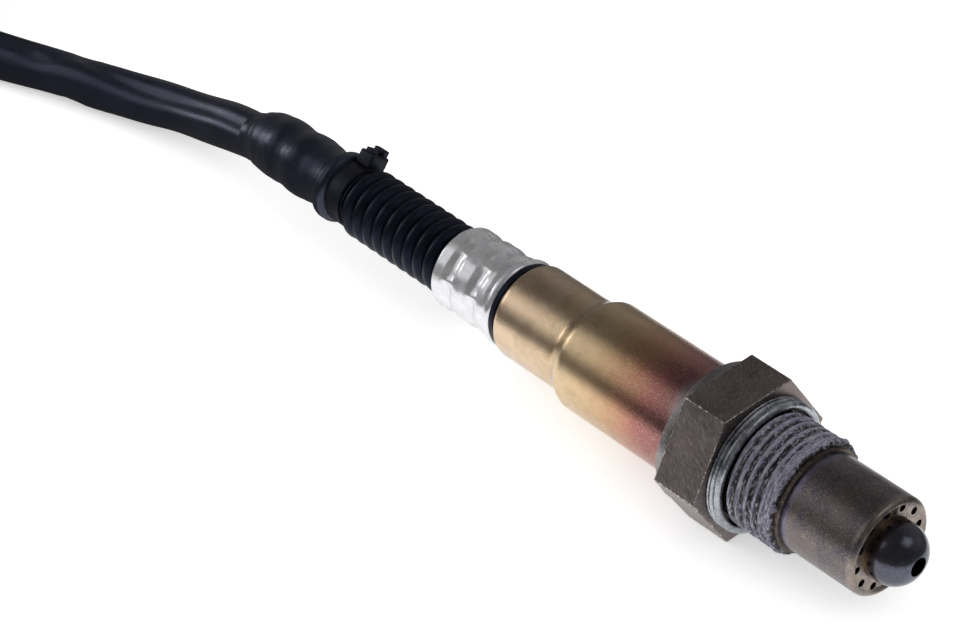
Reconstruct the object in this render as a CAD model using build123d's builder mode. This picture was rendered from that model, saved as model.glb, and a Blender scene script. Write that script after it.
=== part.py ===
"""Wide-band oxygen sensor for an exhaust pipe, with its lead and connector.

The sensor lies along X with its nose toward +X. The origin is on the axis, where the thread
starts just in front of the gasket, and the floor that the hexagon's lower flat lies on is half the
wrench size below it. Lengths are in millimetres.
"""
import os
from math import cos, pi, radians, sin, tan

from build123d import *

# ---------------------------------------------------------------- driving dimensions
slide_gap = 0.02            # radial room of pieces that are pushed together
bore_gap = 0.05             # radial room of a loose fit

# screwed end
thread_diameter = 18.0      # M18 x 1.5
thread_pitch = 1.5
thread_length = 8.25        # with its front chamfer
thread_start = -0.05
undercut_depth = 0.9        # relief behind the thread, under the gasket
seal_gap = 0.1              # from the sealing face to the start of the thread
hex_across_flats = 22.0
hex_length = 7.6
collar_diameter = 21.8
collar_length = 1.6
gasket_thickness = 2.25
gasket_width = 1.13         # from its bore to its rim
gasket_bore_gap = 0.12
neck_depth = 1.0            # turned step in front of the thread
neck_length = 0.8
tube_seat_length = 3.5      # spigot that carries the outer tube

# protection tubes
outer_tube_diameter = 15.1
outer_tube_length = 13.0
tube_wall = 0.5
outer_tube_corner = 0.8
inlet_hole_count = 12
inlet_hole_diameter = 1.2
inlet_circle_diameter = 11.9
inlet_turn = -3.0           # angle of the first inlet hole from the near side
plate_recess = 0.45         # the drilled plate lies this far behind the rolled rim
plate_recess_margin = 0.05  # between the inlet holes and the foot of the rim
inner_tube_diameter = 9.2
inner_tube_rise = 5.1       # from the outer tube's rim to the tip of the dome
inner_tube_corner = 4.0
tip_hole_diameter = 2.9
side_hole_count = 6
side_hole_diameter = 1.4
side_hole_setback = 2.2     # from the flange to the side holes

# body bore and what it holds
body_bore_diameter = 11.2
front_bore_diameter = 7.0
bore_shoulder_depth = 1.5   # behind the sealing face
front_ceramic_length = 5.0
talc_length = 4.0
rear_ceramic_head = 5.0
rear_ceramic_neck = 9.0
rear_ceramic_neck_diameter = 8.8
press_ring_length = 1.7
crimp_lip = 0.8             # rear rim of the housing, rolled over the press ring
element_width = 4.0
element_thickness = 1.2
element_setback = 2.6       # from the dome's inner tip to the end of the element
element_inset = 5.8         # from the carrier's rear to the element's other end

# protective sleeve
sleeve_wall = 0.6
sleeve_large_diameter = 17.5
sleeve_large_length = 22.6
sleeve_small_diameter = 15.0
sleeve_small_length = 13.0
sleeve_step_length = 2.6
sleeve_end_radius = 0.9
sleeve_lip_bore = 11.8

# contact carrier
holder_diameter = 12.4
holder_length = 12.0
holder_setback = 1.2        # behind the rear ceramic
clip_width = 3.0
clip_thickness = 0.4
clip_gap = 35.0             # opening of the spring ring, degrees
blade_width = 0.7
blade_thickness = 0.25
blade_lift = 0.45           # height of the spring blade over the element
blade_spread = 0.7          # sideways place of a blade as a share of its wire's
barrel_diameter = 2.1
barrel_length = 3.0
barrel_setback = 1.0        # behind the carrier
barrel_bore_share = 0.75    # part of the barrel that the wire fills
bump_length = 0.7           # flat foot of the blade, and each of its two slopes
wire_count = 5
wire_diameter = 1.7
wire_circle_diameter = 4.4

# rear end: grommet, hose and crimp ring
grommet_length = 7.2
grommet_spigot_diameter = 8.4
grommet_spigot_length = 11.0
hose_flange_diameter = 13.8
hose_flange_length = 0.8
hose_bore_diameter = 6.4
hose_cuff_diameter = 11.2
crimp_ring_length = 12.4
crimp_ring_diameter = 13.3
crimp_bead_diameter = 14.3
crimp_bead_width = 1.6
crimp_flat_size = 12.35     # across opposite flats
crimp_flat_width = 3.2
crimp_flat_setback = 1.6    # from the ring's rear to the first row
crimp_row_spacing = 4.5
crimps_per_row = 8
rib_count = 10
rib_pitch = 2.35
rib_diameter = 11.3
rib_root_diameter = 9.2
rib_width = 1.8             # at its foot
rib_flank = 0.15            # width of each sloping side
rib_shoulder = 0.45         # height of the round crest over the sides
hose_tail_diameter = 8.0
hose_bead_diameter = 10.2
hose_bead_width = 1.9
hose_tail_length = 8.6      # behind the last rib

# tie and shrunk boot
tie_width = 3.2
tie_thickness = 0.5
tie_setback = 0.4           # from the boot's front edge
tie_head_size = (3.4, 4.4, 3.0)
tie_head_angle = 50.0       # above +Y
tie_tail_length = 2.6
tie_tail_thickness = 1.2
boot_wall = 0.5
boot_bulge_diameter = 10.9
boot_rear_length = 19.4     # behind the hose
boot_overlap = 6.8          # in front of the hose's end
boot_dip = 2.2              # behind the hose: its narrowest place
boot_swell = 5.4            # start of its bulge
boot_peak = 8.4             # widest place of its bulge
boot_fall = 0.35            # shares of its length behind the peak: end of the bulge
boot_neck = 0.75            # and start of its snug end
boot_neck_gap = 0.3

# lead and connector
cable_diameter = 7.2
lead_rise_run = 15.4        # straight stretch behind the hose
lead_fall_run = 29.6        # stretch over which it comes down to the floor
lead_veer = 0.355           # sideways share of the stretch that leaves toward the hank
hank_near = -19.0           # side place of the near run, where the lead joins the hank
hank_front = -208.5         # station of the front folds' centre
hank_run = 90.0             # straight part of each run
hank_fold = 21.6            # radius of the folds, to the middle of the strand
hank_slack = 0.25           # between its two layers
hank_climb = 50.0           # part of the far run that has climbed to the upper layer
hank_tie_width = 6.0
hank_tie_thickness = 0.8
tail_first_run = 15.0
tail_last_run = 15.0
plug_width = 22.0
plug_height = 20.0
plug_length = 30.0
plug_corner = 2.5
nose_length = 7.0
cap_length = 8.0
cap_wall = 1.6
seal_width = 2.4
seal_thickness = 1.2
nose_gap = 0.6              # from the connector's nose seal to the shell's outline
pocket_margin = 1.5         # from the outer terminals to the pocket's side
wire_seal_length = 5.0
lock_thickness = 1.6
terminal_columns = 3
terminal_rows = 2
terminal_pitch = 5.0
terminal_size = 2.2
terminal_length = 15.0
latch_width = 7.0
latch_length = 16.0
latch_rise = 2.0
lock_slot = 1.2             # square window for the mating blade

# ---------------------------------------------------------------- stations along the axis
seal_face = thread_start - seal_gap
hex_front = seal_face - gasket_thickness
hex_rear = hex_front - hex_length
collar_rear = hex_rear - collar_length
thread_front = thread_start + thread_length
neck_front = thread_front + neck_length
spigot_front = neck_front + tube_seat_length
outer_rim = neck_front + outer_tube_length
dome_tip = outer_rim + inner_tube_rise
bore_shoulder = seal_face - bore_shoulder_depth
front_ceramic_rear = bore_shoulder - front_ceramic_length
talc_rear = front_ceramic_rear - talc_length
rear_ceramic_step = talc_rear - rear_ceramic_head
press_ring_rear = rear_ceramic_step - press_ring_length
housing_rear = press_ring_rear - crimp_lip
rear_ceramic_rear = rear_ceramic_step - rear_ceramic_neck
step_front = collar_rear - sleeve_large_length
step_rear = step_front - sleeve_step_length
sleeve_rear = step_rear - sleeve_small_length
holder_front = rear_ceramic_rear - holder_setback
holder_rear = holder_front - holder_length
element_front = dome_tip - tube_wall - element_setback
element_rear = holder_rear + element_inset
grommet_rear = sleeve_rear + sleeve_wall
grommet_front = grommet_rear + grommet_length
grommet_spigot_rear = grommet_rear - grommet_spigot_length
hose_flange_rear = sleeve_rear - hose_flange_length
crimp_rear = hose_flange_rear - crimp_ring_length
first_rib = crimp_rear - rib_pitch / 2
last_rib = first_rib - rib_pitch * (rib_count - 1)
hose_rear = last_rib - hose_tail_length
boot_front = hose_rear + boot_overlap
tie_front = boot_front - tie_setback
tie_rear = tie_front - tie_width
barrel_front = holder_rear - barrel_setback
barrel_rear = barrel_front - barrel_length
floor_level = -hex_across_flats / 2

outer_tube_bore = outer_tube_diameter - 2 * tube_wall
inner_tube_bore = inner_tube_diameter - 2 * tube_wall
sleeve_large_bore = sleeve_large_diameter - 2 * sleeve_wall
sleeve_small_bore = sleeve_small_diameter - 2 * sleeve_wall


def export(part, name):
    """Label a finished piece and write its file."""
    part.label = name
    export_step(part, f"parts/{name}.step")


def ring_points(radius, count, turn=0.0):
    """Places (y, z) evenly round a circle about the axis."""
    steps = [radians(turn + 360 * k / count) for k in range(count)]
    return [(radius * cos(angle), radius * sin(angle)) for angle in steps]


os.makedirs("parts", exist_ok=True)

# ---------------------------------------------------------------- screwed housing
with BuildPart() as sensor_housing:
    with BuildSketch(Plane.YZ.offset(hex_rear)):
        RegularPolygon(hex_across_flats / 2, 6, major_radius=False)
    extrude(amount=hex_length)
    with BuildSketch(Plane.XZ):
        with BuildLine():
            Polyline(
                (housing_rear, 0),
                (housing_rear, sleeve_large_bore / 2 - slide_gap),
                (collar_rear, sleeve_large_bore / 2 - slide_gap),
                (collar_rear, collar_diameter / 2),
                (hex_rear, collar_diameter / 2),
                (hex_rear, thread_diameter / 2 - undercut_depth),
                (thread_start, thread_diameter / 2 - undercut_depth),
                (thread_start, thread_diameter / 2),
                (thread_front - thread_pitch / 2, thread_diameter / 2),
                (thread_front, thread_diameter / 2 - thread_pitch / 2),
                (thread_front, thread_diameter / 2 - neck_depth),
                (neck_front, thread_diameter / 2 - neck_depth),
                (neck_front, outer_tube_bore / 2 - slide_gap),
                (spigot_front, outer_tube_bore / 2 - slide_gap),
                (spigot_front, 0),
                close=True,
            )
        make_face()
    revolve(axis=Axis.X)
    with BuildSketch(Plane.XZ):
        with BuildLine():
            Polyline(
                (housing_rear, 0),
                (housing_rear, rear_ceramic_neck_diameter / 2 + bore_gap),
                (press_ring_rear, rear_ceramic_neck_diameter / 2 + bore_gap),
                (press_ring_rear, body_bore_diameter / 2),
                (bore_shoulder, body_bore_diameter / 2),
                (bore_shoulder, front_bore_diameter / 2),
                (spigot_front, front_bore_diameter / 2),
                (spigot_front, 0),
                close=True,
            )
        make_face()
    revolve(axis=Axis.X, mode=Mode.SUBTRACT)
export(sensor_housing.part, "sensor_housing")

# ---------------------------------------------------------------- captive gasket, folded sheet ring
gasket_bore = thread_diameter / 2 + gasket_bore_gap
gasket_radius = gasket_bore + gasket_width
fold = gasket_thickness / 6
with BuildPart() as gasket:
    with BuildSketch(Plane.XZ):
        with BuildLine():
            Polyline(
                (seal_face, gasket_radius - 2 * fold),
                (seal_face, gasket_bore),
                (hex_front, gasket_bore),
                (hex_front, gasket_radius),
                (hex_front + fold, gasket_radius),
                (hex_front + 1.5 * fold, gasket_radius - fold),
                (hex_front + 2 * fold, gasket_radius),
            )
            Line((hex_front + 2 * fold, gasket_radius), (seal_face - 2 * fold, gasket_radius))
            RadiusArc(
                (seal_face - 2 * fold, gasket_radius),
                (seal_face, gasket_radius - 2 * fold),
                2 * fold,
            )
        make_face()
    revolve(axis=Axis.X)
export(gasket.part, "gasket")

# ---------------------------------------------------------------- outer protection tube
outer_radius = outer_tube_diameter / 2
plate_inner = inner_tube_diameter / 2 + bore_gap
recess_outer = inlet_circle_diameter / 2 + inlet_hole_diameter / 2 + plate_recess_margin
plate_face = outer_rim - plate_recess
with BuildPart() as outer_protection_tube:
    with BuildSketch(Plane.XZ):
        with BuildLine():
            Polyline(
                (outer_rim - outer_tube_corner, outer_radius),
                (neck_front, outer_radius),
                (neck_front, outer_tube_bore / 2),
                (plate_face - tube_wall, outer_tube_bore / 2),
                (plate_face - tube_wall, plate_inner),
                (plate_face, plate_inner),
                (plate_face, recess_outer),
                (outer_rim, outer_radius - outer_tube_corner),
            )
            RadiusArc(
                (outer_rim, outer_radius - outer_tube_corner),
                (outer_rim - outer_tube_corner, outer_radius),
                -outer_tube_corner,
            )
        make_face()
    revolve(axis=Axis.X)
    with BuildSketch(Plane.YZ.offset(plate_face - 2 * tube_wall)):
        with Locations(*ring_points(inlet_circle_diameter / 2, inlet_hole_count, 180 - inlet_turn)):
            Circle(inlet_hole_diameter / 2)
    extrude(amount=4 * tube_wall, mode=Mode.SUBTRACT)
export(outer_protection_tube.part, "outer_protection_tube")

# ---------------------------------------------------------------- inner protection tube with its dome
inner_radius = inner_tube_diameter / 2
dome_corner_bore = inner_tube_corner - tube_wall
with BuildPart() as inner_protection_tube:
    with BuildSketch(Plane.XZ):
        with BuildLine():
            Polyline(
                (dome_tip, inner_radius - inner_tube_corner),
                (dome_tip, 0),
                (dome_tip - tube_wall, 0),
                (dome_tip - tube_wall, inner_radius - inner_tube_corner),
            )
            RadiusArc(
                (dome_tip - tube_wall, inner_radius - inner_tube_corner),
                (dome_tip - inner_tube_corner, inner_tube_bore / 2),
                -dome_corner_bore,
            )
            Polyline(
                (dome_tip - inner_tube_corner, inner_tube_bore / 2),
                (spigot_front, inner_tube_bore / 2),
                (spigot_front, outer_tube_bore / 2 - bore_gap),
                (spigot_front + tube_wall, outer_tube_bore / 2 - bore_gap),
                (spigot_front + tube_wall, inner_radius),
                (dome_tip - inner_tube_corner, inner_radius),
            )
            RadiusArc(
                (dome_tip - inner_tube_corner, inner_radius),
                (dome_tip, inner_radius - inner_tube_corner),
                inner_tube_corner,
            )
        make_face()
    revolve(axis=Axis.X)
    with BuildSketch(Plane.YZ.offset(dome_tip - 2 * tube_wall)):
        Circle(tip_hole_diameter / 2)
    extrude(amount=4 * tube_wall, mode=Mode.SUBTRACT)
    with Locations((spigot_front + side_hole_setback, 0, 0)):
        for turn in range(side_hole_count // 2):
            Cylinder(
                side_hole_diameter / 2,
                inner_tube_diameter + 1,
                rotation=(360 / side_hole_count * turn, 0, 0),
                mode=Mode.SUBTRACT,
            )
export(inner_protection_tube.part, "inner_protection_tube")

# ---------------------------------------------------------------- sensing element and its seal
with BuildPart() as sensing_element:
    with BuildSketch(Plane.YZ.offset(element_rear)):
        Rectangle(element_width, element_thickness)
    extrude(amount=element_front - element_rear)
export(sensing_element.part, "sensing_element")


def seal_piece(rear, front, diameter):
    """Round plug of the body bore with a slot for the element."""
    with BuildPart() as plug:
        with BuildSketch(Plane.YZ.offset(rear)):
            Circle(diameter / 2)
            Rectangle(
                element_width + 2 * bore_gap, element_thickness + 2 * bore_gap, mode=Mode.SUBTRACT
            )
        extrude(amount=front - rear)
    return plug.part


export(
    seal_piece(front_ceramic_rear, bore_shoulder, body_bore_diameter - 2 * bore_gap),
    "front_ceramic",
)
export(seal_piece(talc_rear, front_ceramic_rear, body_bore_diameter - 2 * slide_gap), "talc_ring")
with BuildPart() as rear_ceramic:
    add(seal_piece(rear_ceramic_step, talc_rear, body_bore_diameter - 2 * bore_gap))
    add(seal_piece(rear_ceramic_rear, rear_ceramic_step, rear_ceramic_neck_diameter))
export(rear_ceramic.part, "rear_ceramic")

with BuildPart() as press_ring:
    with BuildSketch(Plane.YZ.offset(press_ring_rear)):
        Circle(body_bore_diameter / 2 - bore_gap)
        Circle(rear_ceramic_neck_diameter / 2 + bore_gap, mode=Mode.SUBTRACT)
    extrude(amount=press_ring_length)
export(press_ring.part, "press_ring")

# ---------------------------------------------------------------- stepped protective sleeve
large_radius = sleeve_large_diameter / 2
small_radius = sleeve_small_diameter / 2
with BuildPart() as protective_sleeve:
    with BuildSketch(Plane.XZ) as sleeve_half:
        with BuildLine():
            Polyline(
                (collar_rear, large_radius),
                (collar_rear, large_radius - sleeve_wall),
                (step_front, large_radius - sleeve_wall),
                (step_rear, small_radius - sleeve_wall),
                (grommet_rear, small_radius - sleeve_wall),
                (grommet_rear, sleeve_lip_bore / 2),
                (sleeve_rear, sleeve_lip_bore / 2),
                (sleeve_rear, small_radius),
                (step_rear, small_radius),
                (step_front, large_radius),
                close=True,
            )
        make_face()
        fillet(sleeve_half.vertices().sort_by_distance((sleeve_rear, small_radius))[0], sleeve_end_radius)
        for knee in ((step_rear, small_radius), (step_front, large_radius)):
            fillet(sleeve_half.vertices().sort_by_distance(knee)[0], sleeve_step_length / 2)
    revolve(axis=Axis.X)
export(protective_sleeve.part, "protective_sleeve")

# ---------------------------------------------------------------- contact carrier and its contacts
# Places of the five wires: one on top, two at the sides, two below. The blades of the first three
# press on the element's upper face, the others on its lower face.
wire_places = ring_points(wire_circle_diameter / 2, wire_count, 90)
blade_reach = element_thickness / 2 + blade_lift + blade_thickness
blade_offset = (element_width - blade_width) / 2
blade_places = []
for y, z in wire_places:
    side = 1 if z > 0 else -1
    blade_places.append((max(-blade_offset, min(blade_offset, y * blade_spread)), side))


def holder_half(side):
    """Half of the ceramic contact carrier, with a channel for each blade on its side."""
    with BuildPart() as half:
        with BuildSketch(Plane.YZ.offset(holder_rear)):
            with BuildLine():
                ThreePointArc(
                    (-holder_diameter / 2, 0), (0, side * holder_diameter / 2), (holder_diameter / 2, 0)
                )
                Line((holder_diameter / 2, 0), (-holder_diameter / 2, 0))
            make_face()
            Rectangle(
                element_width + 2 * bore_gap, element_thickness + 2 * bore_gap, mode=Mode.SUBTRACT
            )
            for y, blade_side in blade_places:
                if blade_side == side:
                    with Locations((y, side * blade_reach / 2)):
                        Rectangle(
                            blade_width + 2 * bore_gap, blade_reach + 2 * bore_gap, mode=Mode.SUBTRACT
                        )
        extrude(amount=holder_length)
        with BuildSketch(Plane.XZ) as groove:
            with Locations((holder_rear + holder_length / 2, holder_diameter / 2)):
                Rectangle(clip_width + 2 * bore_gap, clip_thickness)
        revolve(axis=Axis.X, mode=Mode.SUBTRACT)
    return half.part


export(holder_half(1), "contact_holder_upper")
export(holder_half(-1), "contact_holder_lower")

clip_bore = holder_diameter / 2 - clip_thickness / 2 + slide_gap
with BuildPart() as holder_clip:
    with BuildSketch(Plane.XZ):
        with Locations((holder_rear + holder_length / 2, clip_bore + clip_thickness / 2)):
            Rectangle(clip_width, clip_thickness)
    revolve(axis=Axis.X, revolution_arc=360 - clip_gap)
export(holder_clip.part, "holder_clip")

for number, ((wire_y, wire_z), (blade_y, side)) in enumerate(zip(wire_places, blade_places), 1):
    foot = side * element_thickness / 2
    near = side * (element_thickness / 2 + blade_lift)
    far = near + side * blade_thickness
    tip = holder_front - bump_length
    with BuildPart() as contact:
        with BuildSketch(Plane.XZ.offset(-blade_y - blade_width / 2)):
            with BuildLine():
                Polyline(
                    (tip, near),
                    (tip, far),
                    (holder_rear, far),
                    (barrel_front, wire_z + side * blade_thickness / 2),
                    (barrel_front, wire_z - side * blade_thickness / 2),
                    (holder_rear, near),
                    (tip - 4 * bump_length, near),
                    (tip - 3 * bump_length, foot),
                    (tip - 2 * bump_length, foot),
                    (tip - bump_length, near),
                    close=True,
                )
            make_face()
        extrude(amount=blade_width)
        with BuildSketch(Plane.YZ.offset(barrel_rear)):
            with Locations((wire_y, wire_z)):
                Circle(barrel_diameter / 2)
        extrude(amount=barrel_length)
        with BuildSketch(Plane.YZ.offset(barrel_rear)):
            with Locations((wire_y, wire_z)):
                Circle(wire_diameter / 2)
        extrude(amount=barrel_length * barrel_bore_share, mode=Mode.SUBTRACT)
    export(contact.part, f"contact_{number}")

# ---------------------------------------------------------------- grommet and lead wires
with BuildPart() as grommet:
    with BuildSketch(Plane.XZ):
        with BuildLine():
            Polyline(
                (grommet_front, 0),
                (grommet_front, sleeve_small_bore / 2 - slide_gap),
                (grommet_rear, sleeve_small_bore / 2 - slide_gap),
                (grommet_rear, grommet_spigot_diameter / 2),
                (grommet_spigot_rear, grommet_spigot_diameter / 2),
                (grommet_spigot_rear, 0),
                close=True,
            )
        make_face()
    revolve(axis=Axis.X)
    with BuildSketch(Plane.YZ.offset(grommet_spigot_rear)):
        with Locations(*wire_places):
            Circle(wire_diameter / 2 + slide_gap)
    extrude(amount=grommet_front - grommet_spigot_rear, mode=Mode.SUBTRACT)
export(grommet.part, "grommet")

wire_front = barrel_rear + barrel_length * barrel_bore_share
for number, place in enumerate(wire_places, 1):
    with BuildPart() as lead_wire:
        with BuildSketch(Plane.YZ.offset(hose_rear)):
            with Locations(place):
                Circle(wire_diameter / 2)
        extrude(amount=wire_front - hose_rear)
    export(lead_wire.part, f"lead_wire_{number}")

# ---------------------------------------------------------------- ribbed hose
rib_foot = rib_width / 2
rib_top = rib_foot - rib_flank
root_radius = rib_root_diameter / 2
crest_radius = rib_diameter / 2
rib_middles = [first_rib - rib * rib_pitch for rib in range(rib_count)]
tail_front = last_rib - rib_pitch / 2
bead_front = hose_rear + hose_bead_width + boot_wall
with BuildPart() as corrugated_hose:
    with BuildSketch(Plane.XZ):
        with BuildLine():
            Polyline(
                (rib_middles[0] + rib_foot, root_radius),
                (crimp_rear, root_radius),
                (crimp_rear, hose_cuff_diameter / 2),
                (hose_flange_rear, hose_cuff_diameter / 2),
                (hose_flange_rear, hose_flange_diameter / 2),
                (sleeve_rear, hose_flange_diameter / 2),
                (sleeve_rear, grommet_spigot_diameter / 2 + slide_gap),
                (grommet_spigot_rear, grommet_spigot_diameter / 2 + slide_gap),
                (grommet_spigot_rear, hose_bore_diameter / 2),
                (hose_rear, hose_bore_diameter / 2),
                (hose_rear, hose_tail_diameter / 2),
                (hose_rear + boot_wall / 2, hose_bead_diameter / 2),
                (bead_front - boot_wall / 2, hose_bead_diameter / 2),
                (bead_front, hose_tail_diameter / 2),
                (tail_front, hose_tail_diameter / 2),
                (tail_front, root_radius),
                (rib_middles[-1] - rib_foot, root_radius),
            )
            for middle in rib_middles:
                Line((middle + rib_foot, root_radius), (middle + rib_top, crest_radius - rib_shoulder))
                ThreePointArc(
                    (middle + rib_top, crest_radius - rib_shoulder),
                    (middle, crest_radius),
                    (middle - rib_top, crest_radius - rib_shoulder),
                )
                Line((middle - rib_top, crest_radius - rib_shoulder), (middle - rib_foot, root_radius))
            for front, rear in zip(rib_middles, rib_middles[1:]):
                Line((front - rib_foot, root_radius), (rear + rib_foot, root_radius))
        make_face()
    revolve(axis=Axis.X)
export(corrugated_hose.part, "corrugated_hose")

# ---------------------------------------------------------------- crimped ring over the hose cuff
ring_radius = crimp_ring_diameter / 2
bead_radius = crimp_bead_diameter / 2
with BuildPart() as crimp_ring:
    with BuildSketch(Plane.XZ) as ring_half:
        with BuildLine():
            Polyline(
                (hose_flange_rear, hose_cuff_diameter / 2 + slide_gap),
                (hose_flange_rear, bead_radius),
                (hose_flange_rear - crimp_bead_width, bead_radius),
                (hose_flange_rear - crimp_bead_width - crimp_bead_width / 2, ring_radius),
                (crimp_rear, ring_radius),
                (crimp_rear, hose_cuff_diameter / 2 + slide_gap),
                close=True,
            )
        make_face()
        for station in (hose_flange_rear, hose_flange_rear - crimp_bead_width):
            corner = (station, bead_radius)
            fillet(ring_half.vertices().sort_by_distance(corner)[0], crimp_bead_width / 3)
        fillet(ring_half.vertices().sort_by_distance((crimp_rear, ring_radius))[0], sleeve_wall)
    revolve(axis=Axis.X)
    for row in range(2):
        row_rear = crimp_rear + crimp_flat_setback + row * crimp_row_spacing
        with BuildSketch(Plane.YZ.offset(row_rear)):
            Circle(crimp_bead_diameter)
            RegularPolygon(
                crimp_flat_size / 2,
                crimps_per_row,
                major_radius=False,
                rotation=row * 180 / crimps_per_row,
                mode=Mode.SUBTRACT,
            )
        extrude(amount=crimp_flat_width, mode=Mode.SUBTRACT)
export(crimp_ring.part, "crimp_ring")

# ---------------------------------------------------------------- route of the lead
cable_radius = cable_diameter / 2
lying = floor_level + cable_radius
lead_foot = hose_rear - lead_rise_run - lead_fall_run
route = [
    (hose_rear, 0, 0),
    (hose_rear - lead_rise_run, 0, 0),
    (lead_foot, 0, lying),
    (lead_foot + hank_near / lead_veer, hank_near, lying),
    (hank_front, hank_near, lying),
]


def route_radii(points):
    """Largest tangent arc at each inner point of a route."""
    radii = []
    for before, here, after in zip(points, points[1:], points[2:]):
        run_in = Vector(*here) - Vector(*before)
        run_out = Vector(*after) - Vector(*here)
        turn = radians(run_in.get_angle(run_out))
        radii.append(0.45 * min(run_in.length, run_out.length) / tan(turn / 2))
    return radii


def lead_tube(points):
    """Plain round lead along straight runs joined by tangent arcs."""
    radii = route_radii(points)
    with BuildPart() as tube:
        with BuildLine() as line:
            FilletPolyline(*points, radius=radii)
        path = line.wires()[0]
        with BuildSketch(Plane(origin=path @ 0, z_dir=path % 0)):
            Circle(cable_radius)
        sweep(path=path)
    section = pi * cable_radius**2
    print("radii", [round(radius, 1) for radius in radii], "length", round(path.length, 1),
          "volume ratio", round(tube.part.volume / (section * path.length), 5))
    return tube.part, path


cable_part, cable_path = lead_tube(route)
export(cable_part, "cable")

# ---------------------------------------------------------------- boot shrunk over hose and lead
boot_split = hose_rear - boot_peak
boot_outer = [
    (boot_front, hose_tail_diameter / 2 + boot_wall),
    (bead_front + boot_wall, hose_tail_diameter / 2 + boot_wall),
    (bead_front, hose_bead_diameter / 2 + boot_wall),
    (hose_rear, hose_bead_diameter / 2 + boot_wall),
    (hose_rear - boot_dip, hose_tail_diameter / 2 + 2 * boot_wall),
    (hose_rear - boot_swell, boot_bulge_diameter / 2 - boot_wall),
    (boot_split, boot_bulge_diameter / 2),
]
path_start = hose_rear - boot_split
boot_rings = [
    (0.0, boot_bulge_diameter / 2),
    (boot_fall, boot_bulge_diameter / 2 - boot_wall / 2),
    (boot_neck, cable_radius + boot_wall + boot_neck_gap),
    (1.0, cable_radius + boot_wall),
]
with BuildPart() as shrink_boot:
    with BuildSketch(Plane.XZ):
        with BuildLine():
            Polyline((boot_split, 0), (boot_front, 0), *boot_outer, close=True)
        make_face()
    revolve(axis=Axis.X)
    for share, radius in boot_rings:
        along = (path_start + share * (boot_rear_length - path_start)) / cable_path.length
        with BuildSketch(Plane(origin=cable_path @ along, z_dir=cable_path % along)):
            Circle(radius)
    loft()
    with BuildSketch(Plane.XZ):
        with BuildLine():
            Polyline(
                (boot_front, 0),
                (boot_front, hose_tail_diameter / 2),
                (bead_front, hose_tail_diameter / 2),
                (bead_front - boot_wall / 2, hose_bead_diameter / 2),
                (hose_rear + boot_wall / 2, hose_bead_diameter / 2),
                (hose_rear, hose_tail_diameter / 2),
                (hose_rear, 0),
                close=True,
            )
        make_face()
    revolve(axis=Axis.X, mode=Mode.SUBTRACT)
    add(cable_part, mode=Mode.SUBTRACT)
export(shrink_boot.part, "shrink_boot")

# ---------------------------------------------------------------- cable tie round the boot's front
tie_bore = hose_tail_diameter / 2 + boot_wall
tie_middle = (tie_front + tie_rear) / 2
head_out = Vector(0, cos(radians(tie_head_angle)), sin(radians(tie_head_angle)))
head_plane = Plane(
    origin=Vector(tie_middle, 0, 0) + head_out * (tie_bore + tie_thickness / 2),
    x_dir=(1, 0, 0),
    z_dir=head_out,
)
with BuildPart() as cable_tie:
    with BuildSketch(Plane.XZ):
        with Locations((tie_middle, tie_bore + tie_thickness / 2)):
            Rectangle(tie_width, tie_thickness)
    revolve(axis=Axis.X)
    with BuildSketch(head_plane):
        Rectangle(tie_head_size[0], tie_head_size[1])
    extrude(amount=tie_head_size[2])
    with BuildSketch(head_plane.offset(tie_thickness)):
        with Locations((0, tie_head_size[1] / 4)):
            Rectangle(tie_width - 2 * bore_gap, tie_tail_thickness)
    extrude(amount=tie_head_size[2] + tie_tail_length - tie_thickness)
export(cable_tie.part, "cable_tie")

# ---------------------------------------------------------------- hank of the stored lead
# The lead lies along the near run, folds back at the rear, climbs along the far run, folds over
# itself in front and lies on the near run again, up to the tail.
hank_middle = hank_front - hank_run / 2
hank_rear = hank_front - hank_run
hank_side = hank_near + hank_fold
upper_floor = floor_level + cable_diameter
upper_lying = upper_floor + hank_slack + cable_radius
tie_outer = (cable_diameter + 2 * hank_tie_thickness, 2 * cable_diameter + hank_slack + hank_tie_thickness)
tie_inner = (cable_diameter, 2 * cable_diameter + hank_slack - hank_tie_thickness)
tie_plane = Plane(origin=(hank_middle - hank_tie_width / 2, hank_near, floor_level + tie_outer[1] / 2),
                  x_dir=(0, 1, 0), z_dir=(1, 0, 0))
with BuildPart() as coil_tie:
    with BuildSketch(tie_plane):
        Rectangle(*tie_outer)
        Rectangle(*tie_inner, mode=Mode.SUBTRACT)
    extrude(amount=hank_tie_width)
export(coil_tie.part, "coil_tie")

with BuildPart() as cable_coil:
    with BuildSketch(Plane.XY.offset(floor_level)):
        with Locations((hank_middle, hank_side)):
            SlotCenterToCenter(hank_run, 2 * (hank_fold + cable_radius))
            SlotCenterToCenter(hank_run, 2 * (hank_fold - cable_radius), mode=Mode.SUBTRACT)
        with Locations((hank_front + hank_fold, hank_side)):
            Rectangle(2 * hank_fold, 4 * hank_fold, mode=Mode.SUBTRACT)
    extrude(amount=cable_diameter)
    with BuildSketch(Plane.XY.offset(upper_floor)):
        with Locations((hank_middle, hank_side)):
            SlotCenterToCenter(hank_run, 2 * (hank_fold + cable_radius))
            SlotCenterToCenter(hank_run, 2 * (hank_fold - cable_radius), mode=Mode.SUBTRACT)
        with Locations((hank_rear - hank_fold, hank_side)):
            Rectangle(2 * hank_fold, 4 * hank_fold, mode=Mode.SUBTRACT)
        with Locations((hank_rear, hank_side + hank_fold)):
            Rectangle(2 * (hank_run - hank_climb), 2 * hank_fold, mode=Mode.SUBTRACT)
    extrude(amount=cable_diameter + hank_slack)
    with BuildSketch(tie_plane):
        Rectangle(*tie_outer)
        Rectangle(*tie_inner, mode=Mode.SUBTRACT)
    extrude(amount=hank_tie_width, mode=Mode.SUBTRACT)
export(cable_coil.part, "cable_coil")

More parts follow.
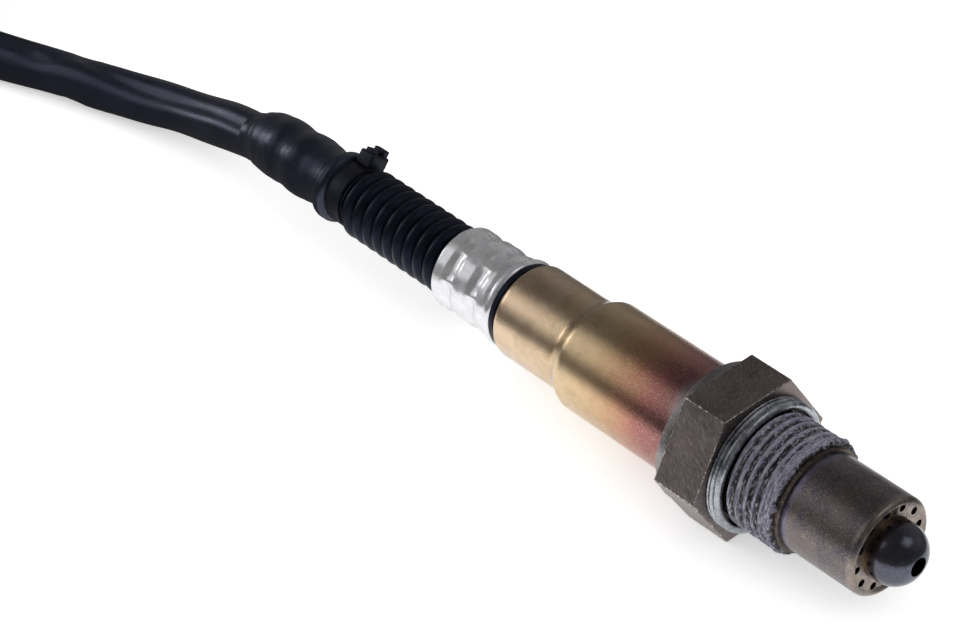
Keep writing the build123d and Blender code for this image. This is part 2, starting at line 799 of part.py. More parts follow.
# ---------------------------------------------------------------- tail of the lead up to the connector
plug_middle = floor_level + plug_height / 2
tail_foot = hank_rear - tail_first_run - tail_last_run
tail_end = Vector(tail_foot - tail_last_run, hank_near, plug_middle)
plug_ahead = Vector(-1, 0, 0)
plug_left = Vector(0, -1, 0)
tail_part, _ = lead_tube([
    (hank_rear, hank_near, upper_lying),
    (hank_rear - tail_first_run, hank_near, upper_lying),
    (tail_foot, hank_near, plug_middle),
    tuple(tail_end),
])
export(tail_part, "cable_tail")


def plug_plane(station):
    """Plane across the connector at a distance in front of the lead's end face."""
    return Plane(origin=tail_end + plug_ahead * station, x_dir=plug_left, z_dir=plug_ahead)


# ---------------------------------------------------------------- connector
nose_width = plug_width - 2 * (seal_thickness + nose_gap)
nose_height = plug_height - 2 * (seal_thickness + nose_gap)
pocket_width = terminal_pitch * (terminal_columns - 1) + terminal_size + 2 * pocket_margin
pocket_height = terminal_pitch * (terminal_rows - 1) + terminal_size + 2 * pocket_margin
body_front = plug_length - nose_length
with BuildPart() as connector_cap:
    with BuildSketch(plug_plane(-cap_length)) as cap_rear:
        RectangleRounded(plug_width - 2 * cap_wall, plug_height - 2 * cap_wall, plug_corner)
        Circle(cable_radius + slide_gap, mode=Mode.SUBTRACT)
    extrude(amount=cap_length)
export(connector_cap.part, "connector_cap")

with BuildPart() as connector_housing:
    with BuildSketch(plug_plane(0)):
        RectangleRounded(plug_width, plug_height, plug_corner)
        Rectangle(pocket_width, pocket_height, mode=Mode.SUBTRACT)
    extrude(amount=wire_seal_length)
    with BuildSketch(plug_plane(wire_seal_length)):
        RectangleRounded(plug_width, plug_height, plug_corner)
        with GridLocations(terminal_pitch, terminal_pitch, terminal_columns, terminal_rows):
            Rectangle(terminal_size, terminal_size, mode=Mode.SUBTRACT)
    extrude(amount=body_front - wire_seal_length)
    with BuildSketch(plug_plane(body_front)):
        RectangleRounded(nose_width, nose_height, plug_corner - seal_thickness)
        with GridLocations(terminal_pitch, terminal_pitch, terminal_columns, terminal_rows):
            Rectangle(terminal_size, terminal_size, mode=Mode.SUBTRACT)
    extrude(amount=nose_length)
    with BuildSketch(plug_plane(body_front - latch_length)):
        with Locations((0, plug_height / 2 + latch_rise / 2)):
            Rectangle(latch_width, latch_rise)
    extrude(amount=latch_length)
    with BuildSketch(plug_plane(body_front - latch_length + latch_rise)):
        with Locations((0, plug_height / 2 + latch_rise / 4)):
            Rectangle(latch_width - 2 * latch_rise, latch_rise / 2)
    extrude(amount=latch_length - latch_rise, mode=Mode.SUBTRACT)
export(connector_housing.part, "connector_housing")

with BuildPart() as wire_seal:
    with BuildSketch(plug_plane(0)):
        Rectangle(pocket_width - 2 * slide_gap, pocket_height - 2 * slide_gap)
    extrude(amount=wire_seal_length)
export(wire_seal.part, "wire_seal")

with BuildPart() as connector_seal:
    with BuildSketch(plug_plane(body_front)):
        RectangleRounded(
            nose_width + 2 * seal_thickness, nose_height + 2 * seal_thickness, plug_corner
        )
        RectangleRounded(
            nose_width + 2 * slide_gap, nose_height + 2 * slide_gap, plug_corner - seal_thickness,
            mode=Mode.SUBTRACT,
        )
    extrude(amount=seal_width)
export(connector_seal.part, "connector_seal")

with BuildPart() as connector_lock:
    with BuildSketch(plug_plane(plug_length)):
        RectangleRounded(pocket_width, pocket_height, plug_corner - seal_thickness)
        with GridLocations(terminal_pitch, terminal_pitch, terminal_columns, terminal_rows):
            Rectangle(lock_slot, lock_slot, mode=Mode.SUBTRACT)
    extrude(amount=lock_thickness)
export(connector_lock.part, "connector_lock")

cavities = GridLocations(terminal_pitch, terminal_pitch, terminal_columns, terminal_rows).local_locations
for number, cavity in enumerate(cavities[:wire_count], 1):
    with BuildPart() as terminal:
        with BuildSketch(plug_plane(wire_seal_length)):
            with Locations(cavity.position):
                Rectangle(terminal_size - 2 * bore_gap, terminal_size - 2 * bore_gap)
                Rectangle(lock_slot, lock_slot, mode=Mode.SUBTRACT)
        extrude(amount=terminal_length)
    export(terminal.part, f"terminal_{number}")
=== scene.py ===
"""Studio scene of a screw-in oxygen sensor: its finishes, its detailed pieces and its lead.

Lengths are in metres, and those in millimetres are turned with MM. The sensor lies along X with
its nose toward +X, and the origin is on its axis where the thread starts. A station is a place
along X. The floor is half the wrench size below the axis.
"""

import logging
import math
from collections.abc import Callable
from dataclasses import dataclass, field
from enum import Enum

import bmesh
import bpy
from mathutils import Matrix, Vector, noise


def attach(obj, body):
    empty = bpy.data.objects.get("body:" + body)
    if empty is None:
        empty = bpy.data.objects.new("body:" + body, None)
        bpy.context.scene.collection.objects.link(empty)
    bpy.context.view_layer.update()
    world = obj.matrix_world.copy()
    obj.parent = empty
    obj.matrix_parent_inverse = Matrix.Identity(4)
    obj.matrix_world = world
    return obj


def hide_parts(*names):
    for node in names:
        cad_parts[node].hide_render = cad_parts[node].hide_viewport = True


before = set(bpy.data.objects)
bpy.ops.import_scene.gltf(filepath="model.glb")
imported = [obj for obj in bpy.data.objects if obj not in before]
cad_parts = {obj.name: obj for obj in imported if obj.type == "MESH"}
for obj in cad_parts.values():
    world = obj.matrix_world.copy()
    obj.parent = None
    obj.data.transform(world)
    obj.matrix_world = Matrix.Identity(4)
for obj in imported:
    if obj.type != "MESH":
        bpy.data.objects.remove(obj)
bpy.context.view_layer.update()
LOG = logging.getLogger("oxygen_sensor")
BODY = "root"
MM = 0.001
FLOOR = -0.011
Point = tuple[float, float]
Place = tuple[float, float, float]
Colour = tuple[float, float, float, float]
Mesh = bmesh.types.BMesh
Piece = bpy.types.Object
Tree = bpy.types.NodeTree
Node = bpy.types.Node
Socket = bpy.types.NodeSocket
Feed = Node | Socket | float | tuple[float, ...]


class Slot(Enum):
    """Material slots of the part, one named by each finish."""

    NOSE = "nose_steel"
    HOUSING = "housing_steel"
    GASKET = "gasket_steel"
    SLEEVE = "sleeve_steel"
    CERAMIC = "ceramic"
    TALC = "talc"
    SPRING = "spring_steel"
    CONTACT = "contact_metal"
    GROMMET = "grommet_rubber"
    WIRE = "wire_insulation"
    HOSE = "hose_rubber"
    CRIMP = "crimp_aluminium"
    BOOT = "boot_tubing"
    LEAD = "lead_tubing"
    TIE = "tie_nylon"
    CONNECTOR = "connector_plastic"
    LOCK = "lock_plastic"
    SEAL = "seal_rubber"


# ------------------------------------------------------------------ shaping tools
def linear(code: str) -> Colour:
    """Turn an sRGB hex colour into a linear one.

    Args:
        code: six hex digits.

    Returns:
        The linear colour with full alpha.
    """
    channels = [int(code[i : i + 2], 16) / 255 for i in (0, 2, 4)]
    curve = [c / 12.92 if c <= 0.04045 else ((c + 0.055) / 1.055) ** 2.4 for c in channels]
    return (curve[0], curve[1], curve[2], 1.0)


def eased(low: float, high: float, value: float) -> float:
    """Rise smoothly from 0 at low to 1 at high."""
    share = min(max((value - low) / (high - low), 0.0), 1.0)
    return share * share * (3 - 2 * share)


def eased_through(stops: tuple[Point, ...], place: float) -> float:
    """Follow a row of values, easing from each one to the next.

    Args:
        stops: places in rising order, each with its value.
        place: the place to look at.

    Returns:
        The value there, which past the last stop is the last value.
    """
    for (low, first), (high, last) in zip(stops, stops[1:]):
        if place <= high:
            return first + (last - first) * eased(low, high, place)
    return stops[-1][1]


def patchy(place: Vector, along: float, across: float) -> float:
    """Read a fixed noise at a place on the sensor.

    Args:
        place: the place in metres.
        along: how busy the noise is along X, in patches per millimetre.
        across: how busy it is across X.

    Returns:
        A value between -1 and 1.
    """
    return noise.noise(Vector((place.x * along, place.y * across, place.z * across)) / MM)


def wrapped(station: float, angle: float, along: float, around: float) -> float:
    """Read a fixed noise that is wrapped round a tube.

    Args:
        station: place along the tube in millimetres.
        angle: place round it in radians.
        along: how busy the noise is along the tube, in patches per millimetre.
        around: how busy it is round the tube.

    Returns:
        A value between -1 and 1.
    """
    spot = (station * along, math.cos(angle) * around, math.sin(angle) * around)
    return noise.noise(Vector(spot))


def corner(centre: Point, radius: float, start: float, end: float, steps: int = 6) -> list[Point]:
    """Round a corner of a profile.

    Args:
        centre: station and distance from the axis of the arc's centre.
        radius: its radius.
        start: first angle in degrees, where 0 faces the nose and 90 faces outward.
        end: last angle in degrees.
        steps: number of chords.

    Returns:
        The points of the arc, both ends included.
    """
    angles = [math.radians(start + (end - start) * k / steps) for k in range(steps + 1)]
    return [(centre[0] + radius * math.cos(a), centre[1] + radius * math.sin(a)) for a in angles]


def in_metres(profile: list[Point]) -> list[Point]:
    """Turn a profile in millimetres into metres."""
    return [(x * MM, r * MM) for x, r in profile]


def spun(profile: list[Point], segments: int) -> Mesh:
    """Turn a closed section about the sensor's axis.

    Args:
        profile: stations and distances from the axis round the section.
        segments: facets round the axis.

    Returns:
        The turned ring.
    """
    bm = bmesh.new()
    verts = [bm.verts.new((x, 0.0, r)) for x, r in profile]
    edges = [bm.edges.new(pair) for pair in zip(verts, verts[1:] + verts[:1])]
    bmesh.ops.spin(bm, geom=verts + edges, cent=(0, 0, 0), axis=(1, 0, 0), angle=math.tau,
                   steps=segments, use_merge=True, use_duplicate=False)
    return bm


def pushed(vert: bmesh.types.BMVert, share: float) -> None:
    """Move a point away from the sensor's axis, to a share of its distance."""
    vert.co = (vert.co.x, vert.co.y * share, vert.co.z * share)


def swept(line: list[Vector], radius: Callable[[float, float], float], around: int) -> Mesh:
    """Draw a tube along a line, with its size set at every place and angle.

    Args:
        line: points of the tube's middle, close together.
        radius: distance from the middle at a length along the line and an angle round it.
        around: facets round the tube.

    Returns:
        The tube, closed at both ends.
    """
    bm = bmesh.new()
    angles = bm.verts.layers.float.new("around")
    ring = bmesh.ops.create_circle(bm, cap_ends=False, segments=around, radius=1.0)["verts"]
    for number, vert in enumerate(ring):
        vert[angles] = math.tau * number / around
    edges = list(bm.edges)
    ahead = (line[1] - line[0]).normalized()
    side = ahead.cross(Vector((0, 0, 1))).normalized()
    length = 0.0
    first = list(ring)
    for number, middle in enumerate(line):
        if number:
            step = bmesh.ops.extrude_edge_only(bm, edges=edges)["geom"]
            ring = [item for item in step if isinstance(item, bmesh.types.BMVert)]
            edges = [item for item in step if isinstance(item, bmesh.types.BMEdge)]
            length += (middle - line[number - 1]).length
            new_ahead = (line[min(number + 1, len(line) - 1)] - line[number - 1]).normalized()
            side.rotate(ahead.rotation_difference(new_ahead))
            ahead = new_ahead
        up = side.cross(ahead)
        for vert in ring:
            out = side * math.cos(vert[angles]) + up * math.sin(vert[angles])
            vert.co = middle + out * radius(length, vert[angles])
    bmesh.ops.contextual_create(bm, geom=first)
    bmesh.ops.contextual_create(bm, geom=ring)
    return bm


def made(bm: Mesh, name: str) -> Piece:
    """Put a bmesh into the scene as a new object.

    Args:
        bm: the mesh in work, which is freed.
        name: the object's name, also its mesh's.

    Returns:
        The object, at the origin.
    """
    mesh = bpy.data.meshes.new(name)
    bm.to_mesh(mesh)
    bm.free()
    thing = bpy.data.objects.new(name, mesh)
    bpy.context.scene.collection.objects.link(thing)
    return thing


def finished(bm: Mesh, name: str, sharp: float) -> Piece:
    """Make a piece of a bmesh, shaded smooth with its sharp corners kept.

    Args:
        bm: the mesh in work, which is freed.
        name: the piece's name.
        sharp: corners over this angle in degrees stay sharp.

    Returns:
        The piece, riding on the sensor's body.
    """
    bmesh.ops.remove_doubles(bm, verts=bm.verts, dist=2e-7)
    bmesh.ops.recalc_face_normals(bm, faces=bm.faces)
    piece = made(bm, name)
    piece.data.shade_smooth()
    piece.data.set_sharp_from_angle(angle=math.radians(sharp))
    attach(piece, BODY)
    return piece


def copied(node: str) -> Mesh:
    """Copy a CAD node's mesh with its triangles joined and its flat faces whole.

    Args:
        node: the CAD node.

    Returns:
        The copy.
    """
    bm = bmesh.new()
    bm.from_mesh(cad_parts[node].data)
    bmesh.ops.remove_doubles(bm, verts=bm.verts, dist=1e-6)
    bmesh.ops.dissolve_limit(bm, angle_limit=math.radians(0.5), verts=bm.verts, edges=bm.edges)
    return bm


def dress(piece: Piece, finish: "Finish", *nodes: str) -> Piece:
    """Give a piece its finish and say which CAD nodes it stands for.

    Args:
        piece: the piece.
        finish: its finish.
        nodes: the CAD nodes that it replaces.

    Returns:
        The piece.
    """
    piece.data.materials.clear()
    piece.data.materials.append(finish.material())
    if nodes:
        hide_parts(*nodes)
    LOG.info("%s stands for %s", piece.name, ", ".join(nodes) or "a detail")
    return piece


# ------------------------------------------------------------------ shader tools
def feed(tree: Tree, socket: Socket, value: Feed) -> None:
    """Link an output, or the first open output of a node, to a socket, or set its value.

    Args:
        tree: the node tree.
        socket: the input socket.
        value: what goes into it.
    """
    if isinstance(value, Node):
        value = next(output for output in value.outputs if output.enabled)
    if isinstance(value, Socket):
        tree.links.new(value, socket)
    else:
        socket.default_value = value


def add_node(tree: Tree, kind: str, *feeds: Feed, **words: object) -> Node:
    """Add a shader node with its settings, values and links.

    Args:
        tree: the node tree.
        kind: the node's type name after "ShaderNode".
        feeds: what goes into its open sockets, in their order.
        words: its settings by their own names, "stops" for the places and hex colours of a
            ramp, or what goes into a socket by the socket's name, with _ for each space.

    Returns:
        The node.
    """
    node = tree.nodes.new(f"ShaderNode{kind}")
    for word, value in words.items():
        if word == "stops":
            elements = node.color_ramp.elements
            elements.remove(elements[-1])
            elements[0].position, elements[0].color = value[0][0], linear(value[0][1])
            for place, code in value[1:]:
                elements.new(place).color = linear(code)
        elif word.islower():
            setattr(node, word, value)
        else:
            feed(tree, node.inputs[word.replace("_", " ")], value)
    for socket, value in zip([each for each in node.inputs if each.enabled], feeds):
        feed(tree, socket, value)
    return node


def blank(name: str) -> bpy.types.Material:
    """Make a material with an empty node tree.

    Args:
        name: its name.

    Returns:
        The material.
    """
    material = bpy.data.materials.new(name)
    material.use_nodes = True
    material.node_tree.nodes.clear()
    return material


# ------------------------------------------------------------------ finishes
@dataclass(frozen=True)
class Finish:
    """A named material with the part's slot that it belongs to."""

    name: str
    slot: Slot

    def material(self) -> bpy.types.Material:
        """Make the finish's material on first use.

        Returns:
            The material.
        """
        ready = bpy.data.materials.get(self.name)
        if ready:
            return ready
        material = blank(self.name)
        tree = material.node_tree
        place = add_node(tree, "TexCoord").outputs["Object"]
        shader = add_node(tree, "BsdfPrincipled", **self.draw(tree, place))
        add_node(tree, "OutputMaterial", Surface=shader)
        return material

    def draw(self, tree: Tree, place: Socket) -> dict[str, Feed]:
        """Add the finish's own nodes.

        Args:
            tree: the node tree.
            place: Object coordinates.

        Returns:
            What goes into the sockets of the Principled shader.
        """
        raise NotImplementedError


@dataclass(frozen=True)
class Mottled(Finish):
    """Plain stock with soft patches and a fine grain: moulded, fired, pressed or rolled.

    The sizes of its patches and its grain are in millimetres. Where the real grain is too fine
    to show, it is drawn coarser.
    """

    low: str
    high: str
    metallic: float = 0.0
    roughness: Point = (0.4, 0.5)
    patch: float = 4.0
    grain: float = 0.3
    relief: float = 0.02
    specular: float = 0.5
    sheen: str = "ffffff"

    def draw(self, tree: Tree, place: Socket) -> dict[str, Feed]:
        """Add the patches, their gloss and the grain.

        Args:
            tree: the node tree.
            place: Object coordinates.

        Returns:
            What goes into the sockets of the Principled shader.
        """
        patches = add_node(tree, "TexNoise", Vector=place, Scale=1 / (self.patch * MM),
                           Detail=4.0, Roughness=0.6)
        colour = add_node(tree, "ValToRGB", patches, stops=[(0.3, self.low), (0.7, self.high)])
        gloss = add_node(tree, "MapRange", patches, 0.3, 0.7, *self.roughness)
        grain = add_node(tree, "TexNoise", Vector=place, Scale=1 / (self.grain * MM), Detail=2.0)
        bump = add_node(tree, "Bump", Height=grain, Distance=self.relief * MM)
        return {"Base_Color": colour, "Roughness": gloss, "Normal": bump,
                "Metallic": self.metallic, "Specular_IOR_Level": self.specular,
                "Specular_Tint": linear(self.sheen)}


@dataclass(frozen=True)
class TintedSteel(Finish):
    """Turned or drawn steel with heat colours along the axis, stains, specks and scratches.

    Its sizes are in millimetres, and its colours run from the first to the second end of its reach.
    Its turning marks are too fine to show at their real size, so they are drawn coarser. Its
    colours along the axis are heat colours, but on the nose's front rim and the dome's foot they
    also hold painted light.
    """

    colours: tuple[tuple[float, str], ...]
    speck: str
    reach: Point
    wander: float = 3.0
    roughness: Point = (0.25, 0.42)
    speck_size: float = 0.5
    speck_share: float = 0.3
    relief: float = 0.01
    stain: str = "6b5c50"
    stain_share: float = 0.15
    cloud_size: float = 9.0
    stain_size: float = 3.2
    scratch: float = 0.12

    def draw(self, tree: Tree, place: Socket) -> dict[str, Feed]:
        """Add the colours along X, heat colours with some painted light, the stains, the specks and
        the turning marks.

        Args:
            tree: the node tree.
            place: Object coordinates.

        Returns:
            What goes into the sockets of the Principled shader.
        """
        station = add_node(tree, "SeparateXYZ", place).outputs["X"]
        cloud = add_node(tree, "TexNoise", Vector=place, Scale=1 / (self.cloud_size * MM),
                         Detail=5.0, Roughness=0.62)
        shift = add_node(tree, "MapRange", cloud, 0.25, 0.75, -self.wander * MM, self.wander * MM)
        shifted = add_node(tree, "Math", station, shift, operation="ADD")
        along = add_node(tree, "MapRange", shifted, *(end * MM for end in self.reach))
        tint = add_node(tree, "ValToRGB", along, stops=self.colours)
        spots = add_node(tree, "TexNoise", Vector=place, Scale=1 / (self.stain_size * MM),
                         Detail=6.0, Roughness=0.72, Distortion=0.6)
        soiled = add_node(tree, "MapRange", spots, 0.46, 0.62, 0.0, self.stain_share)
        stained = add_node(tree, "Mix", soiled, tint, linear(self.stain), data_type="RGBA")
        specks = add_node(tree, "TexNoise", Vector=place, Scale=1 / (self.speck_size * MM),
                          Detail=3.0, Roughness=0.7)
        share = add_node(tree, "MapRange", specks, 0.52, 0.72, 0.0, self.speck_share)
        speckled = add_node(tree, "Mix", share, stained, linear(self.speck), data_type="RGBA")
        gloss = add_node(tree, "MapRange", cloud, 0.3, 0.7, *self.roughness)
        rough = add_node(tree, "Math", specks, 0.12, gloss, operation="MULTIPLY_ADD")
        turned = add_node(tree, "Mapping", Vector=place, Scale=(1.0, 0.06, 0.06))
        marks = add_node(tree, "TexNoise", Vector=turned, Scale=1 / (self.scratch * MM), Detail=3.0)
        bump = add_node(tree, "Bump", Height=marks, Distance=self.relief * MM)
        pits = add_node(tree, "Bump", Height=specks, Distance=2 * self.relief * MM, Normal=bump)
        return {"Base_Color": speckled, "Roughness": rough, "Normal": pits, "Metallic": 1.0}


@dataclass(frozen=True)
class WornFlats(Finish):
    """Oxidised flats with fine scratches, rubbed bright where the attribute "wear" is high.

    Its sizes are in millimetres. Its scratches are drawn wider than real ones so that they show.
    """

    low: str
    high: str
    bright: str
    cloud_size: float = 5.0
    scratch: float = 0.22
    rub_size: float = 0.45
    relief: float = 0.03

    def draw(self, tree: Tree, place: Socket) -> dict[str, Feed]:
        """Add the oxide, the scratches and the rubbed edges.

        Args:
            tree: the node tree.
            place: Object coordinates.

        Returns:
            What goes into the sockets of the Principled shader.
        """
        cloud = add_node(tree, "TexNoise", Vector=place, Scale=1 / (self.cloud_size * MM),
                         Detail=5.0, Roughness=0.65)
        oxide = add_node(tree, "ValToRGB", cloud, stops=[(0.3, self.low), (0.7, self.high)])
        slanted = add_node(tree, "Mapping", vector_type="TEXTURE", Vector=place,
                           Rotation=(0.0, 0.445, -0.484), Scale=(14.0, 1.0, 1.0))
        marks = add_node(tree, "TexNoise", Vector=slanted, Scale=1 / (self.scratch * MM),
                         Detail=4.0, Roughness=0.7)
        light = add_node(tree, "MapRange", marks, 0.5, 0.72, 0.0, 0.4)
        scratched = add_node(tree, "Mix", light, oxide, linear(self.bright), data_type="RGBA")
        wear = add_node(tree, "Attribute", attribute_name="wear").outputs["Fac"]
        dots = add_node(tree, "TexNoise", Vector=place, Scale=1 / (self.rub_size * MM), Detail=2.0)
        ragged = add_node(tree, "Math", dots, 1.6, -1.05, operation="MULTIPLY_ADD")
        rubbed = add_node(tree, "Math", ragged, wear, operation="ADD")
        share = add_node(tree, "MapRange", rubbed, 0.74, 0.98, 0.0, 0.9)
        colour = add_node(tree, "Mix", share, scratched, linear(self.bright), data_type="RGBA")
        rough = add_node(tree, "MapRange", marks, 0.3, 0.7, 0.36, 0.5)
        bump = add_node(tree, "Bump", Height=marks, Distance=self.relief * MM)
        return {"Base_Color": colour, "Roughness": rough, "Normal": bump, "Metallic": 1.0}


@dataclass(frozen=True)
class DriedPaste(Finish):
    """Crumbly paste in a steel thread, rubbed to metal where the attribute "crest" is high.

    Its sizes are in millimetres. Its crumbs are drawn a little coarser than real ones so that they
    show. Its colour darkens towards the roots, partly from the paste's own tone and partly from
    painted shade.
    """

    low: str
    middle: str
    high: str
    glint: str
    cloud_size: float = 1.8
    streak: float = 0.2
    crumb: float = 0.3
    streak_relief: float = 0.14
    crumb_relief: float = 0.06

    def draw(self, tree: Tree, place: Socket) -> dict[str, Feed]:
        """Add the paste, the streaks drawn through it by the nut's thread and its crumbs.

        Args:
            tree: the node tree.
            place: Object coordinates.

        Returns:
            What goes into the sockets of the Principled shader.
        """
        crest = add_node(tree, "Attribute", attribute_name="crest").outputs["Fac"]
        cloud = add_node(tree, "TexNoise", Vector=place, Scale=1 / (self.cloud_size * MM),
                         Detail=6.0, Roughness=0.7)
        wound = add_node(tree, "Mapping", Vector=place, Scale=(1.0, 0.09, 0.09))
        streaks = add_node(tree, "TexNoise", Vector=wound, Scale=1 / (self.streak * MM),
                           Detail=5.0, Roughness=0.7)
        drag_and_root_shade = add_node(tree, "Math", crest, 0.56, streaks, operation="MULTIPLY_ADD")
        height = add_node(tree, "Math", cloud, 0.55, drag_and_root_shade, operation="MULTIPLY_ADD")
        # the ramp runs from dark roots to paler crests: partly the paste's own tone, partly painted
        # shade in the roots
        paste = add_node(tree, "ValToRGB", height,
                         stops=[(0.76, self.low), (0.97, self.middle), (1.3, self.high)])
        rubbed = add_node(tree, "Math", crest, 0.13, streaks, operation="MULTIPLY_ADD")
        dragged = add_node(tree, "Mapping", Vector=place, Scale=(1.0, 0.4, 0.4))
        crumbs = add_node(tree, "TexNoise", Vector=dragged, Scale=1 / (self.crumb * MM),
                          Detail=4.0, Roughness=0.7)
        grains = add_node(tree, "Math", crumbs, 1.12, operation="MULTIPLY")
        bright = add_node(tree, "Math", rubbed, grains, operation="MAXIMUM")
        metal = add_node(tree, "MapRange", bright, 0.585, 0.74, 0.0, 0.85)
        colour = add_node(tree, "Mix", metal, paste, linear(self.glint), data_type="RGBA")
        rough = add_node(tree, "MapRange", metal, 0.0, 1.0, 0.55, 0.32)
        bump = add_node(tree, "Bump", Height=streaks, Distance=self.streak_relief * MM)
        lumps = add_node(tree, "Bump", Height=crumbs, Distance=self.crumb_relief * MM, Normal=bump)
        return {"Base_Color": colour, "Metallic": metal, "Roughness": rough, "Normal": lumps}


# Stainless protection tube: drawn sheet browned by exhaust heat, with a straw-and-blue bloom, and a
# paler band near the front rim that is partly rubbed metal and partly a painted highlight.
NOSE_STEEL = TintedSteel(
    "heat_browned_stainless", Slot.NOSE,
    colours=((0.0, "8e8f9e"), (0.06, "78758a"), (0.12, "736a69"), (0.5, "706665"),
             # the paler stops near the front rim are partly wear and partly a painted highlight on
             # the rim
             (0.89, "6b6364"), (0.94, "93887f"), (0.975, "8d8278"), (1.0, "7c7169")),
    speck="c9beb0", reach=(8.9, 22.2), wander=0.6, roughness=(0.2, 0.34), speck_size=0.26,
    speck_share=0.5, relief=0.018, stain="4b4a5c", stain_share=0.6)
# Inner tube: the same stainless sheet, hotter and polished by the gas, gunmetal, with a straw-gold
# band at its rear that is partly heat tint and partly a painted reflection.
DOME_STEEL = TintedSteel(
    "gunmetal_stainless", Slot.NOSE,
    # the first, gold stop at the dome's foot is partly heat tint and partly a painted reflection
    colours=((0.0, "a88b5c"), (0.1, "6a5f58"), (0.3, "55535b"), (0.7, "54555f"), (1.0, "5b5d68")),
    speck="9c9ca6", reach=(21.4, 27.2), wander=0.3, roughness=(0.1, 0.2), speck_size=0.3,
    speck_share=0.2, relief=0.006, stain="41414e", stain_share=0.5)
# Turned body steel, oxidised grey-brown, which gives a dull dark ring with paler handling marks.
HOUSING_STEEL = TintedSteel(
    "oxidised_turned_steel", Slot.HOUSING,
    colours=((0.0, "918c8e"), (0.25, "88827f"), (0.5, "807975"), (0.95, "756b62"), (1.0, "5f544a")),
    speck="d0cdcb", reach=(-11.6, -2.3), wander=1.2, roughness=(0.32, 0.46), speck_size=0.35,
    speck_share=0.45, relief=0.012, stain="57525a", stain_share=0.45)
# Wrench flats of the same steel, with fine lengthwise scratches and bright worn edges.
HEX_STEEL = WornFlats("oxidised_wrench_flats", Slot.HOUSING, "6e6464", "8b7f7c", "e4dfd8")
# Copper-and-graphite paste dried in the thread, charcoal with silver glints on the crests, darker
# in the roots partly from the paste and partly from painted shade.
THREAD_PASTE = DriedPaste(
    "dried_thread_paste", Slot.HOUSING, "0f0e15", "302e3d", "5a576a", "c2c1cb")
# Folded sealing ring of zinc-plated sheet, grey and softly shining.
GASKET_STEEL = Mottled(
    "zinc_plated_sheet", Slot.GASKET, "7c818a", "c6c9ce",
    metallic=1.0, roughness=(0.18, 0.4), patch=1.1, relief=0.03)
# Spun stainless sleeve: straw gold far from the heat, purple-red near the hexagon, satin.
SLEEVE_STEEL = TintedSteel(
    "straw_tinted_stainless", Slot.SLEEVE,
    colours=((0.0, "d4bb9f"), (0.18, "d5bc9f"), (0.46, "d0b893"), (0.58, "c8aa84"),
             (0.68, "bd9573"), (0.77, "b4806a"), (0.86, "9e6764"), (0.94, "8b5a60"),
             (0.975, "95878c"), (1.0, "a5a3a9")),
    speck="ecd9bd", reach=(-49.8, -11.6), wander=1.9, roughness=(0.12, 0.2), speck_size=0.26,
    speck_share=0.34, relief=0.018, stain="a08468", stain_share=0.3)
# Alumina ceramic, fired and matt, chalky white.
CERAMIC = Mottled(
    "fired_alumina", Slot.CERAMIC, "dcd6c8", "ebe7dc", roughness=(0.55, 0.7), patch=3.0, grain=0.2)
# Pressed talc powder, soft grey-white and dusty.
TALC = Mottled(
    "pressed_talc", Slot.TALC, "c4c1b6", "d6d3c9",
    roughness=(0.8, 0.9), patch=1.5, grain=0.15, relief=0.04)
# Spring steel, rolled and bright.
SPRING_STEEL = Mottled(
    "rolled_spring_steel", Slot.SPRING, "9a9a98", "bdbdba",
    metallic=1.0, roughness=(0.25, 0.35), patch=3.0, grain=0.2)
# Plated spring alloy of the contacts and terminals, pale and shiny.
CONTACT_METAL = Mottled(
    "plated_contact_alloy", Slot.CONTACT, "b9b29a", "d6d0ba",
    metallic=1.0, roughness=(0.2, 0.3), patch=2.0, grain=0.2)
# Fluoroelastomer grommet, moulded, dark and dull.
GROMMET_RUBBER = Mottled(
    "moulded_fluoroelastomer", Slot.GROMMET, "1d1c1c", "2a2928", roughness=(0.55, 0.7))
# Fluoropolymer wire insulation, extruded, waxy pale grey.
WIRE_PLASTIC = Mottled(
    "extruded_fluoropolymer", Slot.WIRE, "bdbdb6", "cfcfc9", roughness=(0.35, 0.45))
# Moulded elastomer hose, black with a dull satin sheen on its ribs.
HOSE_RUBBER = Mottled(
    "moulded_hose_elastomer", Slot.HOSE, "05060c", "0d0f1a",
    roughness=(0.34, 0.46), patch=3.0, grain=0.25, specular=0.32, sheen="a4aede")
# Pressed aluminium ring, bright as rolled, scuffed by the crimping jaws.
CRIMP_ALUMINIUM = Mottled(
    "bright_pressed_aluminium", Slot.CRIMP, "d3d4d6", "ececee",
    metallic=0.86, roughness=(0.22, 0.35), patch=1.9, relief=0.003)
# Cross-linked polyolefin tubing shrunk by heat, blue-black with a leathery satin skin.
BOOT_TUBING = Mottled(
    "shrunk_polyolefin_boot", Slot.BOOT, "06080f", "10131f",
    roughness=(0.27, 0.38), patch=2.5, relief=0.03, specular=0.95, sheen="b4bcdf")
# The same tubing over the lead's wires.
LEAD_TUBING = Mottled(
    "shrunk_polyolefin_sheath", Slot.LEAD, "05070f", "0e1120",
    roughness=(0.27, 0.38), patch=5.0, relief=0.03, specular=1.0, sheen="b4bcdf")
# Weathering-resistant nylon 6/6, moulded, black and faintly glossy.
TIE_NYLON = Mottled(
    "black_nylon", Slot.TIE, "08090c", "131419",
    roughness=(0.35, 0.5), patch=1.5, grain=0.2, specular=0.4, sheen="b4bce0")
# Glass-filled PBT, moulded, black with a fine matt grain.
CONNECTOR_PLASTIC = Mottled(
    "glass_filled_polyester", Slot.CONNECTOR, "0f0f10", "1a1a1b",
    roughness=(0.42, 0.55), patch=6.0, grain=0.35, relief=0.03)
# Secondary lock, moulded PBT in grey.
LOCK_PLASTIC = Mottled(
    "grey_moulded_polyester", Slot.LOCK, "57585b", "65666a", patch=5.0, grain=0.35)
# Silicone seal, moulded, orange-brown and slightly oily.
SEAL_RUBBER = Mottled(
    "moulded_silicone", Slot.SEAL, "7d3314", "8f3e1b", roughness=(0.35, 0.45), patch=3.0)


